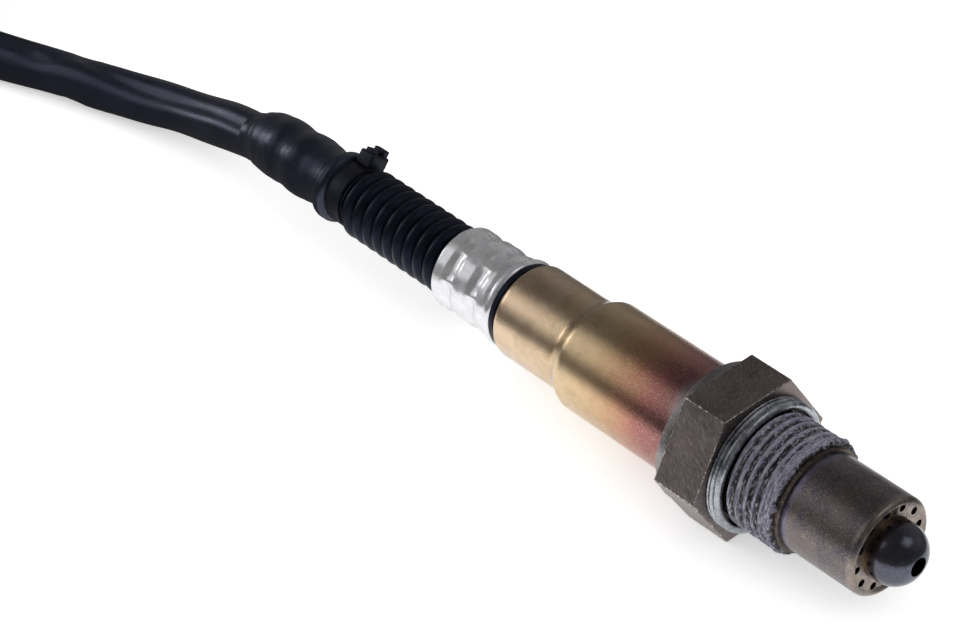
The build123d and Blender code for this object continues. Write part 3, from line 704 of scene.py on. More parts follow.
# ------------------------------------------------------------------ studio
@dataclass(frozen=True)
class Lamp:
    """A square soft lamp that faces the sensor, with its place and size in metres."""

    name: str
    place: Place
    size: float
    watts: float
    aim: Place = (-0.03, 0.0, 0.0)

    def build(self) -> None:
        """Hang the lamp."""
        data = bpy.data.lights.new(self.name, "AREA")
        data.size = self.size
        data.energy = self.watts
        lamp = bpy.data.objects.new(self.name, data)
        facing = (Vector(self.aim) - Vector(self.place)).to_track_quat("-Z", "Y")
        lamp.matrix_world = Matrix.Translation(self.place) @ facing.to_matrix().to_4x4()
        bpy.context.scene.collection.objects.link(lamp)
        LOG.info("%s lamp is hung", self.name)


@dataclass
class Studio:
    """Pale floor, soft light, a tent for reflections and the camera.

    Its sizes are in metres. The tent's cloth goes from its front grey to its back grey between
    two distances along Y.
    """

    lens: float = 119.14
    camera_place: Place = (0.22706, -0.22950, 0.29326)
    right: Place = (0.66043, 0.74838, -0.06135)
    up: Place = (-0.44485, 0.45578, 0.77096)
    back: Place = (0.60493, -0.48187, 0.63392)
    floor_reach: float = 6.0
    floor_glow: float = 0.42
    tent_radius: float = 2.5
    tent_facets: int = 48
    tent_lift: float = 0.0003
    open_table: float = 0.085
    open_centre: Point = (-0.015, -0.04)
    tent_front: tuple[float, str] = (1.0, "727172")
    tent_back: tuple[float, str] = (2.2, "a09fa0")
    side_light: float = 0.9
    lamps: tuple[Lamp, ...] = (
        Lamp("key", (-0.62, -0.53, 0.60), 0.72, 1.0),
        Lamp("fill", (0.55, 0.35, 0.75), 0.5, 0.7),
        Lamp("low_panel", (-0.93, -0.27, 0.27), 0.3, 0.85),
    )

    def build(self) -> None:
        """Make the camera, the floor, the world, the tent and the lamps."""
        scene = bpy.context.scene
        scene.view_settings.view_transform = "Standard"
        self.make_camera(scene)
        self.make_floor()
        self.make_world(scene)
        self.make_tent()
        for lamp in self.lamps:
            lamp.build()

    def make_camera(self, scene: bpy.types.Scene) -> None:
        """Place the camera by its three directions.

        Args:
            scene: the scene.
        """
        data = bpy.data.cameras.new("camera")
        data.sensor_width = 36.0
        data.lens = self.lens
        data.clip_start, data.clip_end = 0.01, 30.0
        camera = bpy.data.objects.new("camera", data)
        turn = Matrix((self.right, self.up, self.back)).transposed()
        camera.matrix_world = Matrix.Translation(self.camera_place) @ turn.to_4x4()
        scene.collection.objects.link(camera)
        scene.camera = camera

    def seen(self, tree: Tree) -> Node:
        """Tell a direct look, also one off metal or through glass, from lighting.

        Args:
            tree: the node tree.

        Returns:
            A node that gives 1 for such a look.
        """
        rays = add_node(tree, "LightPath").outputs
        metal = add_node(tree, "Math", rays["Is Glossy Ray"], rays["Is Transmission Ray"],
                         operation="MAXIMUM")
        return add_node(tree, "Math", rays["Is Camera Ray"], metal, operation="MAXIMUM")

    def make_floor(self) -> None:
        """Lay a wide pale floor that a direct look sees as white, with the sensor's shadow."""
        bm = bmesh.new()
        bmesh.ops.create_grid(bm, x_segments=1, y_segments=1, size=self.floor_reach,
                              matrix=Matrix.Translation((0, 0, FLOOR)))
        floor = made(bm, "floor")
        material = blank("white_table")
        tree = material.node_tree
        matt = add_node(tree, "BsdfDiffuse", linear("f4f4f4"))
        lift = add_node(tree, "Math", self.seen(tree), self.floor_glow, operation="MULTIPLY")
        glow = add_node(tree, "Emission", linear("ffffff"), lift)
        add_node(tree, "OutputMaterial", add_node(tree, "AddShader", matt, glow))
        floor.data.materials.append(material)

    def make_world(self, scene: bpy.types.Scene) -> None:
        """Surround the sensor with an even pale light that a direct look sees as white.

        Args:
            scene: the scene.
        """
        world = bpy.data.worlds.new("studio")
        world.use_nodes = True
        tree = world.node_tree
        tree.nodes.clear()
        level = add_node(tree, "MapRange", self.seen(tree), To_Min=self.side_light)
        light = add_node(tree, "Background", linear("ffffff"), level)
        add_node(tree, "OutputWorld", light)
        scene.world = world

    def make_tent(self) -> None:
        """Set a grey cloth tent, paler behind, that only reflections see.

        It gives the metal its contrast. It is open over the table round the sensor.
        """
        bm = bmesh.new()
        bmesh.ops.create_uvsphere(bm, u_segments=self.tent_facets,
                                  v_segments=self.tent_facets // 2, radius=self.tent_radius)
        low = [face for face in bm.faces if face.calc_center_median().z < 0]
        bmesh.ops.delete(bm, geom=low, context="FACES")
        rim = Matrix.Translation((*self.open_centre, FLOOR + self.tent_lift))
        bmesh.ops.create_circle(bm, segments=self.tent_facets, radius=self.open_table, matrix=rim)
        loose = [edge for edge in bm.edges if len(edge.link_faces) < 2]
        bmesh.ops.bridge_loops(bm, edges=loose)
        tent = made(bm, "tent")
        for sight in ("camera", "diffuse", "transmission", "volume_scatter", "shadow"):
            setattr(tent, f"visible_{sight}", False)
        material = blank("grey_cloth")
        tree = material.node_tree
        place = add_node(tree, "TexCoord").outputs["Object"]
        beyond = add_node(tree, "SeparateXYZ", place).outputs["Y"]
        (near, dark), (far, pale) = self.tent_front, self.tent_back
        share = add_node(tree, "MapRange", beyond, near, far)
        grey = add_node(tree, "Mix", share, linear(dark), linear(pale), data_type="RGBA")
        add_node(tree, "OutputMaterial", add_node(tree, "BsdfDiffuse", grey))
        tent.data.materials.append(material)


# ------------------------------------------------------------------ lead
@dataclass
class Lead:
    """The sheathed lead: its free stretch, its tied hank and its tail up to the connector.

    Sizes are in millimetres, but its length is in metres. Its creases are where the twisted wires
    show through: a distance from the hose and an angle in degrees. Its lumps are a distance and a
    height as a share of its radius.
    """

    diameter: float = 7.2
    lying: float = -7.4
    upper: float = 0.05
    run: tuple[Place, ...] = (
        (-93.925, 0.0, 0.0), (-109.325, 0.0, 0.0), (-138.925, 0.0, -7.4), (-192.446, -19.0, -7.4),
    )
    hank_front: float = -208.5
    hank_rear: float = -298.5
    hank_near: float = -19.0
    hank_fold: float = 21.6
    fold_points: int = 8
    far_run_sag: tuple[Place, ...] = ((-12.0, -1.2, 0.0), (14.0, -0.8, 4.6))
    near_run_sag: float = 0.8
    tail: tuple[Place, ...] = (
        (-298.5, -19.0, 0.05), (-313.5, -19.0, 0.05), (-328.5, -19.0, -1.0), (-343.5, -19.0, -1.0),
    )
    length: float = 0.56
    creases: tuple[Point, ...] = (
        (0, 40), (25, 28), (45, 34), (53, 24), (58, -2), (63, -26), (69, 30), (75, 2), (82, 12),
        (92, -25), (600, -720),
    )
    crease_depth: float = 0.17
    crease_width: float = 0.36
    plump: float = 0.045
    unevenness: float = 0.1
    uneven_length: float = 13.0
    lumps: tuple[Point, ...] = ((46.0, 0.05), (58.5, 0.1), (68.0, -0.06), (80.0, 0.07))
    lump_length: float = 5.0
    lump_side: float = 0.3
    snug: float = 12.0
    snug_share: float = 0.4
    facets: int = 40
    step: float = 1.1
    clearance: float = 0.02
    pieces: list[Piece] = field(default_factory=list)

    def fold(self, station: float, first: float, level: float) -> list[Place]:
        """Control points of a fold of the hank, which turns clockwise through half a circle.

        Args:
            station: station of its centre.
            first: angle in degrees at which it starts.
            level: height of its middle.

        Returns:
            The points in millimetres, with one more on the runs before and after it.
        """
        step = 180 / self.fold_points
        radius = self.hank_fold / math.cos(math.radians(step / 2))
        side = self.hank_near + self.hank_fold
        angles = [math.radians(first - step * (number + 0.5)) for number in range(self.fold_points)]
        points = [(station + radius * math.cos(angle), side + radius * math.sin(angle), level)
                  for angle in angles]
        reach = 2 * self.hank_fold * math.sin(math.radians(step / 2))
        outward = math.copysign(reach, station - points[0][0])
        before, after = [(x + outward, y, z) for x, y, z in (points[0], points[-1])]
        return [before, *points, after]

    def route(self) -> list[Vector]:
        """Join the lead's free run, its hank and its tail.

        Returns:
            The control points of the whole lead in metres.
        """
        middle = (self.hank_front + self.hank_rear) / 2
        far = self.hank_near + 2 * self.hank_fold
        points = [
            *self.run,
            *self.fold(self.hank_rear, 270.0, self.lying),
            *((middle + x, far + y, self.lying + z) for x, y, z in self.far_run_sag),
            *self.fold(self.hank_front, 90.0, self.upper),
            (middle, self.hank_near + self.near_run_sag, self.upper),
            *self.tail,
        ]
        return [Vector(point) * MM for point in points]

    def line(self) -> list[Vector]:
        """Read the lead's smooth middle line from its spline.

        Returns:
            Points along it, a step or a little more apart, in metres.
        """
        curve = bpy.data.curves.new("lead_line", "CURVE")
        curve.dimensions = "3D"
        curve.resolution_u = 24
        spline = curve.splines.new("NURBS")
        route = self.route()
        spline.points.add(len(route) - 1)
        for place, point in zip(spline.points, route):
            place.co = (*point, 1.0)
        spline.order_u = 3
        spline.use_endpoint_u = True
        guide = bpy.data.objects.new("lead_line", curve)
        bpy.context.scene.collection.objects.link(guide)
        mesh = bpy.data.meshes.new_from_object(guide)
        raw = [vert.co.copy() for vert in mesh.vertices]
        bpy.data.objects.remove(guide)
        bpy.data.meshes.remove(mesh)
        points, gone = [raw[0]], 0.0
        for before, here in zip(raw, raw[1:]):
            gone += (here - before).length
            if gone >= self.step * MM:
                points.append(here)
                gone = 0.0
        points[-1] = raw[-1]
        return points

    def radius(self, along: float, angle: float) -> float:
        """Distance of the sheath from the middle: twisted wires show through the shrunk tube.

        Args:
            along: metres from the hose.
            angle: round the lead, in radians.

        Returns:
            The distance in metres.
        """
        gone = along / MM
        crease = angle - math.radians(90 + eased_through(self.creases, gone))
        groove = math.exp(-((math.sin(crease) / self.crease_width) ** 2))
        swell = self.plump - self.crease_depth * groove
        above = max(0.0, -math.cos(angle - self.lump_side))
        for station, height in self.lumps:
            swell += height * above * math.exp(-(((gone - station) / self.lump_length) ** 2))
        swell += self.unevenness * wrapped(gone, angle, 1 / self.uneven_length, 0.9)
        loose = self.snug_share + (1 - self.snug_share) * eased(0.0, self.snug, gone)
        return self.diameter / 2 * MM * (1 + swell * loose)

    def build(self) -> None:
        """Build the sheath along its spline, lying on the floor."""
        middle = self.line()
        bm = swept(middle, self.radius, self.facets)
        for vert in bm.verts:
            vert.co.z = max(vert.co.z, FLOOR + self.clearance * MM)
        sheath = finished(bm, "lead_sheath", 60)
        dress(sheath, LEAD_TUBING, "cable", "cable_coil", "cable_tail")


# ------------------------------------------------------------------ connector
@dataclass
class Connector:
    """The plug on the lead's end and the strap round the hank, sizes in millimetres."""

    edge: float = 0.3
    sharp: float = 30.0
    shells: tuple[tuple[str, Finish], ...] = (
        ("connector_housing", CONNECTOR_PLASTIC), ("connector_cap", CONNECTOR_PLASTIC),
        ("connector_lock", LOCK_PLASTIC), ("coil_tie", TIE_NYLON),
    )
    seals: tuple[str, ...] = ("wire_seal", "connector_seal")
    terminals: int = 5

    def rounded(self, node: str) -> Mesh:
        """Copy a moulded CAD node with its edges slightly rounded.

        Args:
            node: the CAD node.

        Returns:
            The copy.
        """
        bm = copied(node)
        limit = math.radians(self.sharp)
        sharp = [edge for edge in bm.edges if edge.is_manifold and edge.calc_face_angle() > limit]
        bmesh.ops.bevel(bm, geom=sharp, offset=self.edge * MM, offset_type="OFFSET",
                        affect="EDGES", segments=2, profile=0.5, material=-1, clamp_overlap=True)
        return bm

    def build(self) -> list[Piece]:
        """Build the shells and the seals.

        Returns:
            The shells and the seals, with the CAD terminals that stay.
        """
        moulded = [(node, finish, self.rounded(node)) for node, finish in self.shells]
        moulded += [(node, SEAL_RUBBER, copied(node)) for node in self.seals]
        pieces = [dress(finished(bm, f"{node}_moulding", self.sharp), finish, node)
                  for node, finish, bm in moulded]
        numbers = range(1, self.terminals + 1)
        return pieces + [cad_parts[f"terminal_{number}"] for number in numbers]


# ------------------------------------------------------------------ screwed end
@dataclass
class ScrewHousing:
    """The turned body: hexagon, collar, bore and the paste-filled thread.

    Sizes are in millimetres here and in all later pieces, and a pair is a station and a radius
    unless its name says otherwise. The lip of the paste is two stations and a height.
    """

    across_flats: float = 22.0
    hex_rear: float = -10.0
    hex_front: float = -2.4
    edge: float = 0.14
    cap_ring: float = 3.3
    smallest_flat: float = 20.0
    worn_band: float = 0.24
    collar_rear: float = -11.6
    collar_radius: float = 10.9
    collar_edges: Point = (0.3, 0.25)
    skirt_rear: float = -18.15
    skirt_radius: float = 8.13
    rolled_rim: Point = (-17.35, 4.45)
    packing_bore: Point = (-1.65, 5.6)
    element_bore: float = 3.5
    seat: Point = (9.0, 8.0)
    spigot: Point = (12.5, 7.03)
    core: float = 8.1
    thread_start: float = -0.05
    thread_front: float = 8.2
    thread_radius: float = 9.0
    thread_root: float = 8.12
    pitch: float = 1.5
    chamfer: float = 0.8
    chamfer_slope: float = 0.7
    thread_depth: float = 0.4
    turn_steps: int = 144
    rubbed_from: float = 8.3
    paste_level: float = 8.4
    paste_lip: Place = (6.2, 7.0, 0.36)
    flaky: Point = (5.6, 7.6)
    ragged: Point = (7.4, 8.2)
    over_thread: float = 0.06

    def build(self) -> None:
        """Build the body's pieces."""
        dress(self.body(), HOUSING_STEEL, "sensor_housing")
        dress(self.hexagon(), HEX_STEEL, "sensor_housing")
        dress(self.thread(), THREAD_PASTE, "sensor_housing")

    def body(self) -> Piece:
        """Turn the bored body with its collar and its front step.

        Returns:
            The piece.
        """
        rear_edge, front_edge = self.collar_edges
        rim, rim_bore = self.rolled_rim
        shelf, bore = self.packing_bore
        seat, seat_radius = self.seat
        nose, nose_radius = self.spigot
        rear_centre = (self.collar_rear + rear_edge, self.collar_radius - rear_edge)
        front_centre = (self.hex_rear - front_edge, self.collar_radius - front_edge)
        profile = [
            (self.skirt_rear, rim_bore), (self.skirt_rear, self.skirt_radius),
            (self.collar_rear, self.skirt_radius), *corner(rear_centre, rear_edge, 180, 90, 4),
            *corner(front_centre, front_edge, 90, 0, 4), (self.hex_rear, self.core),
            (self.thread_front, self.core), (self.thread_front, seat_radius), (seat, seat_radius),
            (seat, nose_radius), (nose, nose_radius), (nose, self.element_bore),
            (shelf, self.element_bore), (shelf, bore), (rim, bore), (rim, rim_bore),
        ]
        return finished(spun(in_metres(profile), self.turn_steps), "turned_body", 40)

    def hexagon(self) -> Piece:
        """Cut the hexagon, break its edges and mark the bands where a wrench has worn it.

        Returns:
            The piece, with the attribute "wear" from 0 on its flats to 1 at their edges.
        """
        bm = bmesh.new()
        length = self.hex_front - self.hex_rear
        turn = Matrix.Rotation(math.radians(90), 4, "Y") @ Matrix.Rotation(math.radians(60), 4, "Z")
        place = Matrix.Translation(((self.hex_rear + length / 2) * MM, 0, 0))
        outer = self.across_flats / math.sqrt(3) * MM
        bmesh.ops.create_cone(bm, cap_ends=True, segments=6, radius1=outer, radius2=outer,
                              depth=length * MM, matrix=place @ turn)
        caps = [face for face in bm.faces if abs(face.normal.x) > 0.9]
        inset = bmesh.ops.inset_individual(bm, faces=caps, thickness=self.cap_ring * MM)
        rings = set(inset["faces"])
        holes = [face for face in bm.faces if face not in rings and abs(face.normal.x) > 0.9]
        loops = [edge for face in holes for edge in face.edges]
        bmesh.ops.delete(bm, geom=holes, context="FACES_ONLY")
        bmesh.ops.bridge_loops(bm, edges=loops)
        limit = self.core * 1.05 * MM
        sharp = [edge for edge in bm.edges if edge.calc_face_angle(0) > 0.5
                 and all(vert.co.yz.length > limit for vert in edge.verts)]
        bmesh.ops.bevel(bm, geom=sharp, offset=self.edge * MM, offset_type="OFFSET",
                        affect="EDGES", segments=3, profile=0.5, material=-1)
        wear = bm.verts.layers.float.new("wear")
        for vert in bm.verts:
            vert[wear] = 1.0
        least = self.smallest_flat * MM * MM
        flats = [face for face in bm.faces if face.calc_area() > least
                 and face.calc_center_median().yz.length > limit]
        for worn in (0.35, 0.0):
            bmesh.ops.inset_individual(bm, faces=flats, thickness=self.worn_band / 2 * MM)
            for face in flats:
                for vert in face.verts:
                    vert[wear] = worn
        return finished(bm, "wrench_hexagon", 30)

    def thread(self) -> Piece:
        """Wind the thread, trim it and clog it with dried paste.

        Returns:
            The piece, with the attribute "crest" from 0 in its roots to 1 on its crests.
        """
        half, root, crest = self.pitch / 2, self.thread_root, self.thread_radius
        flank = [(1.0, root), (0.84, root + 0.1), (0.66, root + 0.3),
                 (0.5, crest - 0.3), (0.34, crest - 0.12), (0.17, crest - 0.03)]
        tooth = [(-half * share, r) for share, r in flank] + [(0.0, crest)]
        tooth += [(half * share, r) for share, r in reversed(flank)]
        start = self.thread_start - self.pitch
        bm = bmesh.new()
        verts = [bm.verts.new(((start + x) * MM, 0, r * MM)) for x, r in tooth]
        edges = [bm.edges.new(pair) for pair in zip(verts, verts[1:])]
        turns = math.ceil((self.thread_front - start) / self.pitch) + 1
        bmesh.ops.spin(bm, geom=verts + edges, cent=(0, 0, 0), axis=(1, 0, 0),
                       angle=math.tau * turns, dvec=(self.pitch / self.turn_steps * MM, 0, 0),
                       steps=self.turn_steps * turns)
        bmesh.ops.remove_doubles(bm, verts=bm.verts, dist=2e-6)
        for station, way in ((self.thread_start, -1), (self.thread_front, 1)):
            bmesh.ops.bisect_plane(bm, geom=bm.verts[:] + bm.edges[:] + bm.faces[:],
                                   clear_outer=True, plane_co=(station * MM, 0, 0),
                                   plane_no=(way, 0, 0))
        rubbed = bm.verts.layers.float.new("crest")
        for vert in bm.verts:
            vert.co = self.pasted(vert.co)
            vert[rubbed] = eased(self.rubbed_from, self.thread_radius, vert.co.yz.length / MM)
        rims = [edge for edge in bm.edges if edge.is_boundary]
        inner = bmesh.ops.extrude_edge_only(bm, edges=rims)["geom"]
        for vert in (item for item in inner if isinstance(item, bmesh.types.BMVert)):
            pushed(vert, (self.core - self.thread_depth) * MM / vert.co.yz.length)
        rims = [edge for edge in bm.edges if edge.is_boundary]
        bmesh.ops.bridge_loops(bm, edges=rims)
        return finished(bm, "clogged_thread", 75)

    def pasted(self, place: Vector) -> Vector:
        """Move a point of the thread out to the paste that clogs it.

        The paste fills the roots to a level, is drawn into streaks round the axis and flakes
        near the thread's front, where its end is ragged too.

        Args:
            place: the point on the clean thread.

        Returns:
            The point on the clogged thread.
        """
        station, radius = place.x / MM, place.yz.length / MM
        cloud = patchy(place, 0.9, 0.35)
        crumbs = patchy(place, 1.7, 1.7)
        grit = patchy(place, 4.5, 4.5)
        streak = patchy(place, 3.1, 0.14)
        rough = 0.05 * crumbs + 0.03 * grit
        low, high, lip = self.paste_lip
        level = self.paste_level + 0.16 * cloud + 0.18 * streak + rough
        level += lip * eased(low, high, station)
        ridge = radius - 0.14 + 0.06 * cloud + 0.17 * streak + rough
        flakes = eased(*self.flaky, station) * max(0.0, 0.55 * crumbs + 0.5 * grit + 0.12)
        chamfered = max(0.0, station - (self.thread_front - self.chamfer)) * self.chamfer_slope
        limit = self.thread_radius + self.over_thread - chamfered + 0.18 * flakes
        share = min(max(ridge, level) + 0.5 * flakes, limit) / radius
        torn = 0.45 * patchy(place, 1.1, 1.1) + 0.25 * crumbs - 0.1
        ahead = eased(*self.ragged, station) * torn * MM
        return Vector((place.x + ahead, place.y * share, place.z * share))


@dataclass
class CrushGasket:
    """The captive sealing ring, folded from sheet.

    Its section is drawn in sixths of its width. It is dented between two radii to a share.
    """

    front: float = -0.15
    rear: float = -2.4
    bore: float = 9.12
    rim: float = 10.25
    dented: Place = (9.3, 10.2, 0.004)
    dents: float = 1 / 2.2

    def build(self) -> None:
        """Turn the folded section and dent it slightly, as a used ring is."""
        front, rear, bore, rim = self.front, self.rear, self.bore, self.rim
        fold = (front - rear) / 6
        profile = [
            (front - fold * 0.4, bore), (rear + 0.1, bore), (rear, bore + 0.1),
            *corner((rear + fold * 0.55, rim - fold * 0.55), fold * 0.55, 180, 0, 6),
            (rear + fold * 1.3, rim - fold * 0.9),
            *corner((rear + fold * 2.0, rim - fold * 0.62), fold * 0.6, 170, 20, 5),
            (rear + fold * 2.8, rim - fold * 0.75),
            *corner((front - fold * 1.7, rim - fold * 1.7), fold * 1.7, 110, 0, 10),
            (front, bore + fold * 0.6),
        ]
        bm = spun(in_metres(profile), 180)
        low, high, depth = self.dented
        for vert in bm.verts:
            dent = depth * patchy(vert.co, self.dents, self.dents)
            pushed(vert, 1 + dent * eased(low, high, vert.co.yz.length / MM))
        dress(finished(bm, "folded_gasket", 50), GASKET_STEEL, "gasket")


@dataclass
class ProtectionTubes:
    """The two drilled tubes round the sensing element."""

    sharp: float = 35.0
    tubes: tuple[tuple[str, Finish], ...] = (
        ("outer_protection_tube", NOSE_STEEL), ("inner_protection_tube", DOME_STEEL),
    )

    def build(self) -> None:
        """Copy both tubes with their holes and shade them."""
        for node, finish in self.tubes:
            dress(finished(copied(node), f"{node}_shell", self.sharp), finish, node)


@dataclass
class ProtectiveSleeve:
    """The stepped sleeve over the contacts, spun from stainless sheet."""

    front: float = -11.6
    rear: float = -49.8
    large: float = 8.75
    small: float = 7.5
    wall: float = 0.6
    edge: float = 0.12
    step: Point = (-34.2, -36.8)
    knee_reach: float = 1.25
    knee_steps: int = 14
    end_radius: float = 1.45
    lip: float = 5.9

    def build(self) -> None:
        """Turn the sleeve with soft knees at its step."""
        middle = sum(self.step) / 2
        half = (self.step[0] - self.step[1]) / 2 * self.knee_reach
        shares = [k / self.knee_steps for k in range(self.knee_steps + 1)]
        fall = self.large - self.small
        knee = [(middle + half * (1 - 2 * k), self.small + fall * eased(1.0, 0.0, k))
                for k in shares]
        inner = [(x, r - self.wall) for x, r in reversed(knee)]
        rolled = (self.rear + self.end_radius, self.small - self.end_radius)
        profile = [
            (self.front, self.large - self.wall), (self.front, self.large - self.edge),
            (self.front - self.edge, self.large), *knee, *corner(rolled, self.end_radius, 90, 180),
            (self.rear, self.lip), (self.rear + self.wall, self.lip),
            (self.rear + self.wall, self.small - self.wall), *inner,
        ]
        sleeve = finished(spun(in_metres(profile), 192), "spun_sleeve", 40)
        dress(sleeve, SLEEVE_STEEL, "protective_sleeve")


# ------------------------------------------------------------------ rear end
@dataclass
class CrimpRing:
    """The bright ring pressed on the hose in two rows of dents that run round it."""

    front: float = -50.6
    rear: float = -63.9
    bore: float = 5.62
    radius: float = 6.65
    bead_radius: float = 7.15
    bead_width: float = 1.6
    bead_gap: float = 0.7
    edge: float = 0.5
    body_steps: int = 44
    rows: Point = (-60.4, -55.2)
    dents: int = 8
    dent_start: float = 112.0
    dent_width: float = 2.9
    dent_ease: Point = (0.1, 1.1)
    dent_depth: float = 0.56
    rib_width: float = 0.75
    rib_share: float = 0.6
    scuff: float = 0.11
    ripple: float = 0.03

    def build(self) -> None:
        """Turn the ring finely and press its dents."""
        bead = self.bead_width / 2
        first = self.front - self.bead_width - self.bead_gap
        last = self.rear + self.edge + 0.05
        count = self.body_steps
        body = [(first + (last - first) * k / count, self.radius) for k in range(count + 1)]
        end = (self.rear + self.edge, self.radius - self.edge)
        profile = [
            (self.front, self.bore), (self.front, self.bead_radius - bead),
            *corner((self.front - bead, self.bead_radius - bead), bead, 0, 180, 10), *body,
            *corner(end, self.edge, 95, 180, 5), (self.rear, self.bore),
        ]
        bm = spun(in_metres(profile), 224)
        for vert in bm.verts:
            radius = vert.co.yz.length / MM
            if radius > self.bore + 0.4:
                dent = self.dent(vert.co.x / MM, math.atan2(vert.co.z, vert.co.y))
                pushed(vert, 1 - dent / radius)
        dress(finished(bm, "pressed_ring", 55), CRIMP_ALUMINIUM, "crimp_ring")

    def dent(self, station: float, angle: float) -> float:
        """Depth of the pressed dents and of the soft marks between them at a place.

        Args:
            station: its station in millimetres.
            angle: its angle about the axis, from the far side.

        Returns:
            The depth in millimetres.
        """
        pitch = math.tau / self.dents
        turned = (angle - math.radians(self.dent_start)) / pitch
        from_rib = (turned - round(turned)) * pitch * self.radius
        rib = math.exp(-((from_rib / self.rib_width) ** 2))
        reach = min(abs(station - row) for row in self.rows) / (self.dent_width / 2)
        depth = self.dent_depth * (1 - eased(*self.dent_ease, reach)) * (1 - self.rib_share * rib)
        depth += self.scuff * max(-0.2, wrapped(station, angle, 0.42, 2.6))
        return depth + self.ripple * wrapped(station, angle, 0.966, 5.98)


@dataclass
class CorrugatedHose:
    """The ribbed hose that guards the wires behind the ring.

    Its end bead is given as its width, its radius and its rounding.
    """

    front: float = -49.8
    flange: Point = (-50.6, 6.9)
    cuff: float = 5.6
    crimp_rear: float = -63.0
    first_rib: float = -64.175
    ribs: int = 10
    rib_steps: int = 12
    rib_shape: float = 0.72
    pitch: float = 2.35
    crest: float = 5.65
    root: float = 4.6
    rear: float = -93.925
    tail: float = 4.0
    bead: Place = (2.4, 5.1, 0.6)
    bore: float = 3.2
    grommet: Point = (-60.2, 4.22)

    def build(self) -> None:
        """Turn the hose with its round ribs and its end bead."""
        shares = [k / self.rib_steps for k in range(self.rib_steps + 1)]
        ribs = []
        for number in range(self.ribs):
            middle = self.first_rib - number * self.pitch
            for k in shares:
                height = (self.crest - self.root) * abs(math.sin(math.pi * k)) ** self.rib_shape
                ribs.append((middle + self.pitch * (0.5 - k), self.root + height))
        last = self.first_rib - self.pitch * (self.ribs - 0.5)
        flange, flange_radius = self.flange
        stop, seat = self.grommet
        width, bead, edge = self.bead
        profile = [
            (self.front, seat), (self.front, flange_radius), (flange, flange_radius),
            (flange, self.cuff), (self.crimp_rear + 0.1, self.cuff), *ribs, (last, self.tail),
            (self.rear + width, self.tail),
            *corner((self.rear + width / 2, bead - edge), edge, 90, 180, 4),
            (self.rear, self.tail), (self.rear, self.bore), (stop, self.bore), (stop, seat),
        ]
        hose = finished(spun(in_metres(profile), 128), "ribbed_hose", 50)
        dress(hose, HOSE_RUBBER, "corrugated_hose")


@dataclass
class ShrunkBoot:
    """Tubing shrunk over the hose's end and the start of the lead.

    Its forms are places from its front with its radius there, and its bulges are places with
    the height of a soft swelling on one side.
    """

    front: float = -87.125
    rear: float = -113.325
    facets: int = 64
    steps: int = 110
    forms: tuple[Point, ...] = (
        (0.0, 4.5), (3.7, 4.5), (3.95, 5.3), (4.4, 5.7), (5.6, 5.72), (6.1, 5.3), (6.9, 4.78),
        (8.2, 4.74), (10.2, 4.95), (12.4, 5.15), (13.6, 5.15), (15.4, 5.0), (16.0, 5.0),
        (17.6, 5.15), (19.3, 5.1), (21.5, 4.9), (23.4, 4.6), (24.4, 4.1), (25.2, 3.98),
        (26.2, 3.95),
    )
    bulges: tuple[Point, ...] = ((13.0, 0.42), (18.2, 0.45))
    bulge_side: float = 2.0
    bulge_length: float = 1.7
    wrinkle: float = 0.22
    smooth_front: Point = (6.0, 12.0)
    sag_from: float = -108.3
    sag: float = 0.25

    def radius(self, along: float, angle: float) -> float:
        """Distance of the boot's skin from its middle.

        Args:
            along: metres from its front.
            angle: round it, in radians.

        Returns:
            The distance in metres.
        """
        place = along / MM
        reach = eased_through(self.forms, place)
        facing = max(0.0, math.cos(angle - self.bulge_side)) ** 2
        for station, height in self.bulges:
            reach += height * facing * math.exp(-(((place - station) / self.bulge_length) ** 2))
        wrinkle = self.wrinkle * wrapped(place, angle, 1 / 5.5, 1.1)
        return (reach + wrinkle * eased(*self.smooth_front, place)) * MM

    def build(self) -> None:
        """Sweep the boot from its cut front edge to the lead."""
        length = self.front - self.rear
        stations = [self.front - length * k / self.steps for k in range(self.steps + 1)]
        line = [Vector((x, 0, -self.sag * max(0.0, self.sag_from - x))) * MM for x in stations]
        bm = swept(line, self.radius, self.facets)
        dress(finished(bm, "shrunk_boot", 60), BOOT_TUBING, "shrink_boot")


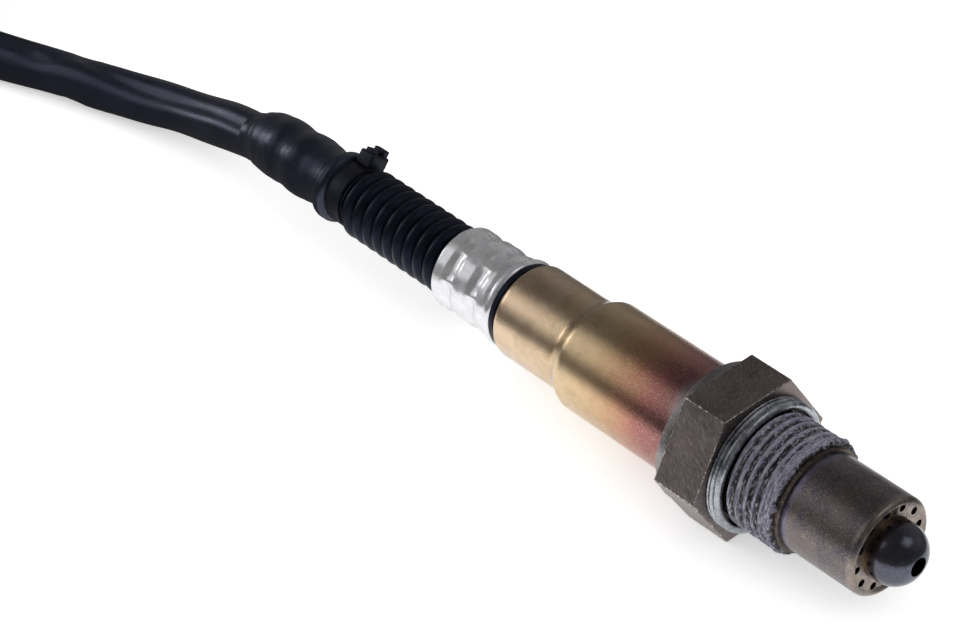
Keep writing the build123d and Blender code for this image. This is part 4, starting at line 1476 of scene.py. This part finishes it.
@dataclass
class CableTie:
    """The nylon tie round the boot, with its head and its cut tail.

    The head and the tail are given as sizes along X, round the boot and outward.
    """

    front: float = -87.525
    rear: float = -90.725
    bore: float = 4.5
    thickness: float = 0.5
    sunk: float = 0.3
    head_sunk: float = 0.2
    ease: float = 0.15
    head_angle: float = 50.0
    head: Place = (3.1, 3.8, 2.4)
    tail: Place = (2.4, 1.1, 1.0)
    head_edge: float = 0.35
    tail_edge: float = 0.12
    pawl: Place = (1.55, 1.43, 0.8)

    def band(self) -> Mesh:
        """Turn the band with its outer edges eased.

        Returns:
            The band's mesh in work.
        """
        outer, ease, inner = self.bore + self.thickness, self.ease, self.bore - self.sunk
        profile = [
            (self.front, inner), (self.rear, inner),
            *corner((self.rear + ease, outer - ease), ease, 180, 90, 3),
            *corner((self.front - ease, outer - ease), ease, 90, 0, 3),
        ]
        return spun(in_metres(profile), 128)

    def block(self, size: Place, base: float, side: float, edge: float) -> bpy.types.Mesh:
        """Build a block that stands on the band, with its edges eased.

        Args:
            size: its sizes along X, round the boot and outward.
            base: height of its foot over the head's foot.
            side: its place round the boot, from the head's middle.
            edge: how far its edges are eased.

        Returns:
            The block's mesh.
        """
        bm = bmesh.new()
        foot = self.bore + self.thickness - self.head_sunk + base
        place = Matrix.Translation((0, side * MM, (foot + size[2] / 2) * MM))
        scale = Matrix.Diagonal((*(length * MM for length in size), 1))
        bmesh.ops.create_cube(bm, size=1, matrix=place @ scale)
        bmesh.ops.bevel(bm, geom=bm.edges[:], offset=edge * MM, offset_type="OFFSET",
                        affect="EDGES", segments=3, profile=0.5, material=-1)
        middle = Matrix.Translation(((self.front + self.rear) / 2 * MM, 0, 0))
        turn = Matrix.Rotation(math.radians(self.head_angle - 90), 4, "X")
        bmesh.ops.transform(bm, matrix=middle @ turn, verts=bm.verts)
        mesh = bpy.data.meshes.new("block")
        bm.to_mesh(mesh)
        bm.free()
        return mesh

    def build(self) -> None:
        """Build the band, its head and its tail as one moulding."""
        bm = self.band()
        quarter, top = self.head[1] / 4, self.head[2]
        for block in (self.block(self.head, 0.0, 0.0, self.head_edge),
                      self.block(self.tail, top, quarter, self.tail_edge),
                      self.block(self.pawl, top - self.head_sunk, -quarter, self.ease)):
            bm.from_mesh(block)
            bpy.data.meshes.remove(block)
        dress(finished(bm, "boot_tie", 40), TIE_NYLON, "cable_tie")


# ------------------------------------------------------------------ kept CAD nodes
KEPT = {
    "front_ceramic": CERAMIC, "rear_ceramic": CERAMIC, "sensing_element": CERAMIC,
    "contact_holder_upper": CERAMIC, "contact_holder_lower": CERAMIC, "talc_ring": TALC,
    "press_ring": SPRING_STEEL, "holder_clip": SPRING_STEEL, "grommet": GROMMET_RUBBER,
    **{f"contact_{k}": CONTACT_METAL for k in range(1, 6)},
    **{f"terminal_{k}": CONTACT_METAL for k in range(1, 6)},
    **{f"lead_wire_{k}": WIRE_PLASTIC for k in range(1, 6)},
    "sensor_housing": HOUSING_STEEL, "gasket": GASKET_STEEL, "outer_protection_tube": NOSE_STEEL,
    "inner_protection_tube": DOME_STEEL, "protective_sleeve": SLEEVE_STEEL,
    "crimp_ring": CRIMP_ALUMINIUM, "corrugated_hose": HOSE_RUBBER, "shrink_boot": BOOT_TUBING,
    "cable_tie": TIE_NYLON, "cable": LEAD_TUBING, "cable_coil": LEAD_TUBING,
    "cable_tail": LEAD_TUBING, "coil_tie": TIE_NYLON, "connector_housing": CONNECTOR_PLASTIC,
    "connector_cap": CONNECTOR_PLASTIC, "connector_lock": LOCK_PLASTIC, "wire_seal": SEAL_RUBBER,
    "connector_seal": SEAL_RUBBER,
}


def dress_kept_nodes() -> None:
    """Give every CAD node its finish, hidden ones too."""
    for name, finish in KEPT.items():
        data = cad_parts[name].data
        data.materials.clear()
        data.materials.append(finish.material())
        LOG.info("%s is dressed in %s", name, finish.name)


def main() -> None:
    """Build the studio and the sensor, piece by piece."""
    logging.basicConfig(level=logging.INFO, format="%(name)s: %(message)s")
    Studio().build()
    dress_kept_nodes()
    lead = Lead(pieces=Connector().build())
    lead.build()
    for assembly in (ScrewHousing(), CrushGasket(), ProtectionTubes(), ProtectiveSleeve(),
                     CrimpRing(), CorrugatedHose(), ShrunkBoot(), CableTie()):
        assembly.build()


if __name__ == "__main__":
    main()
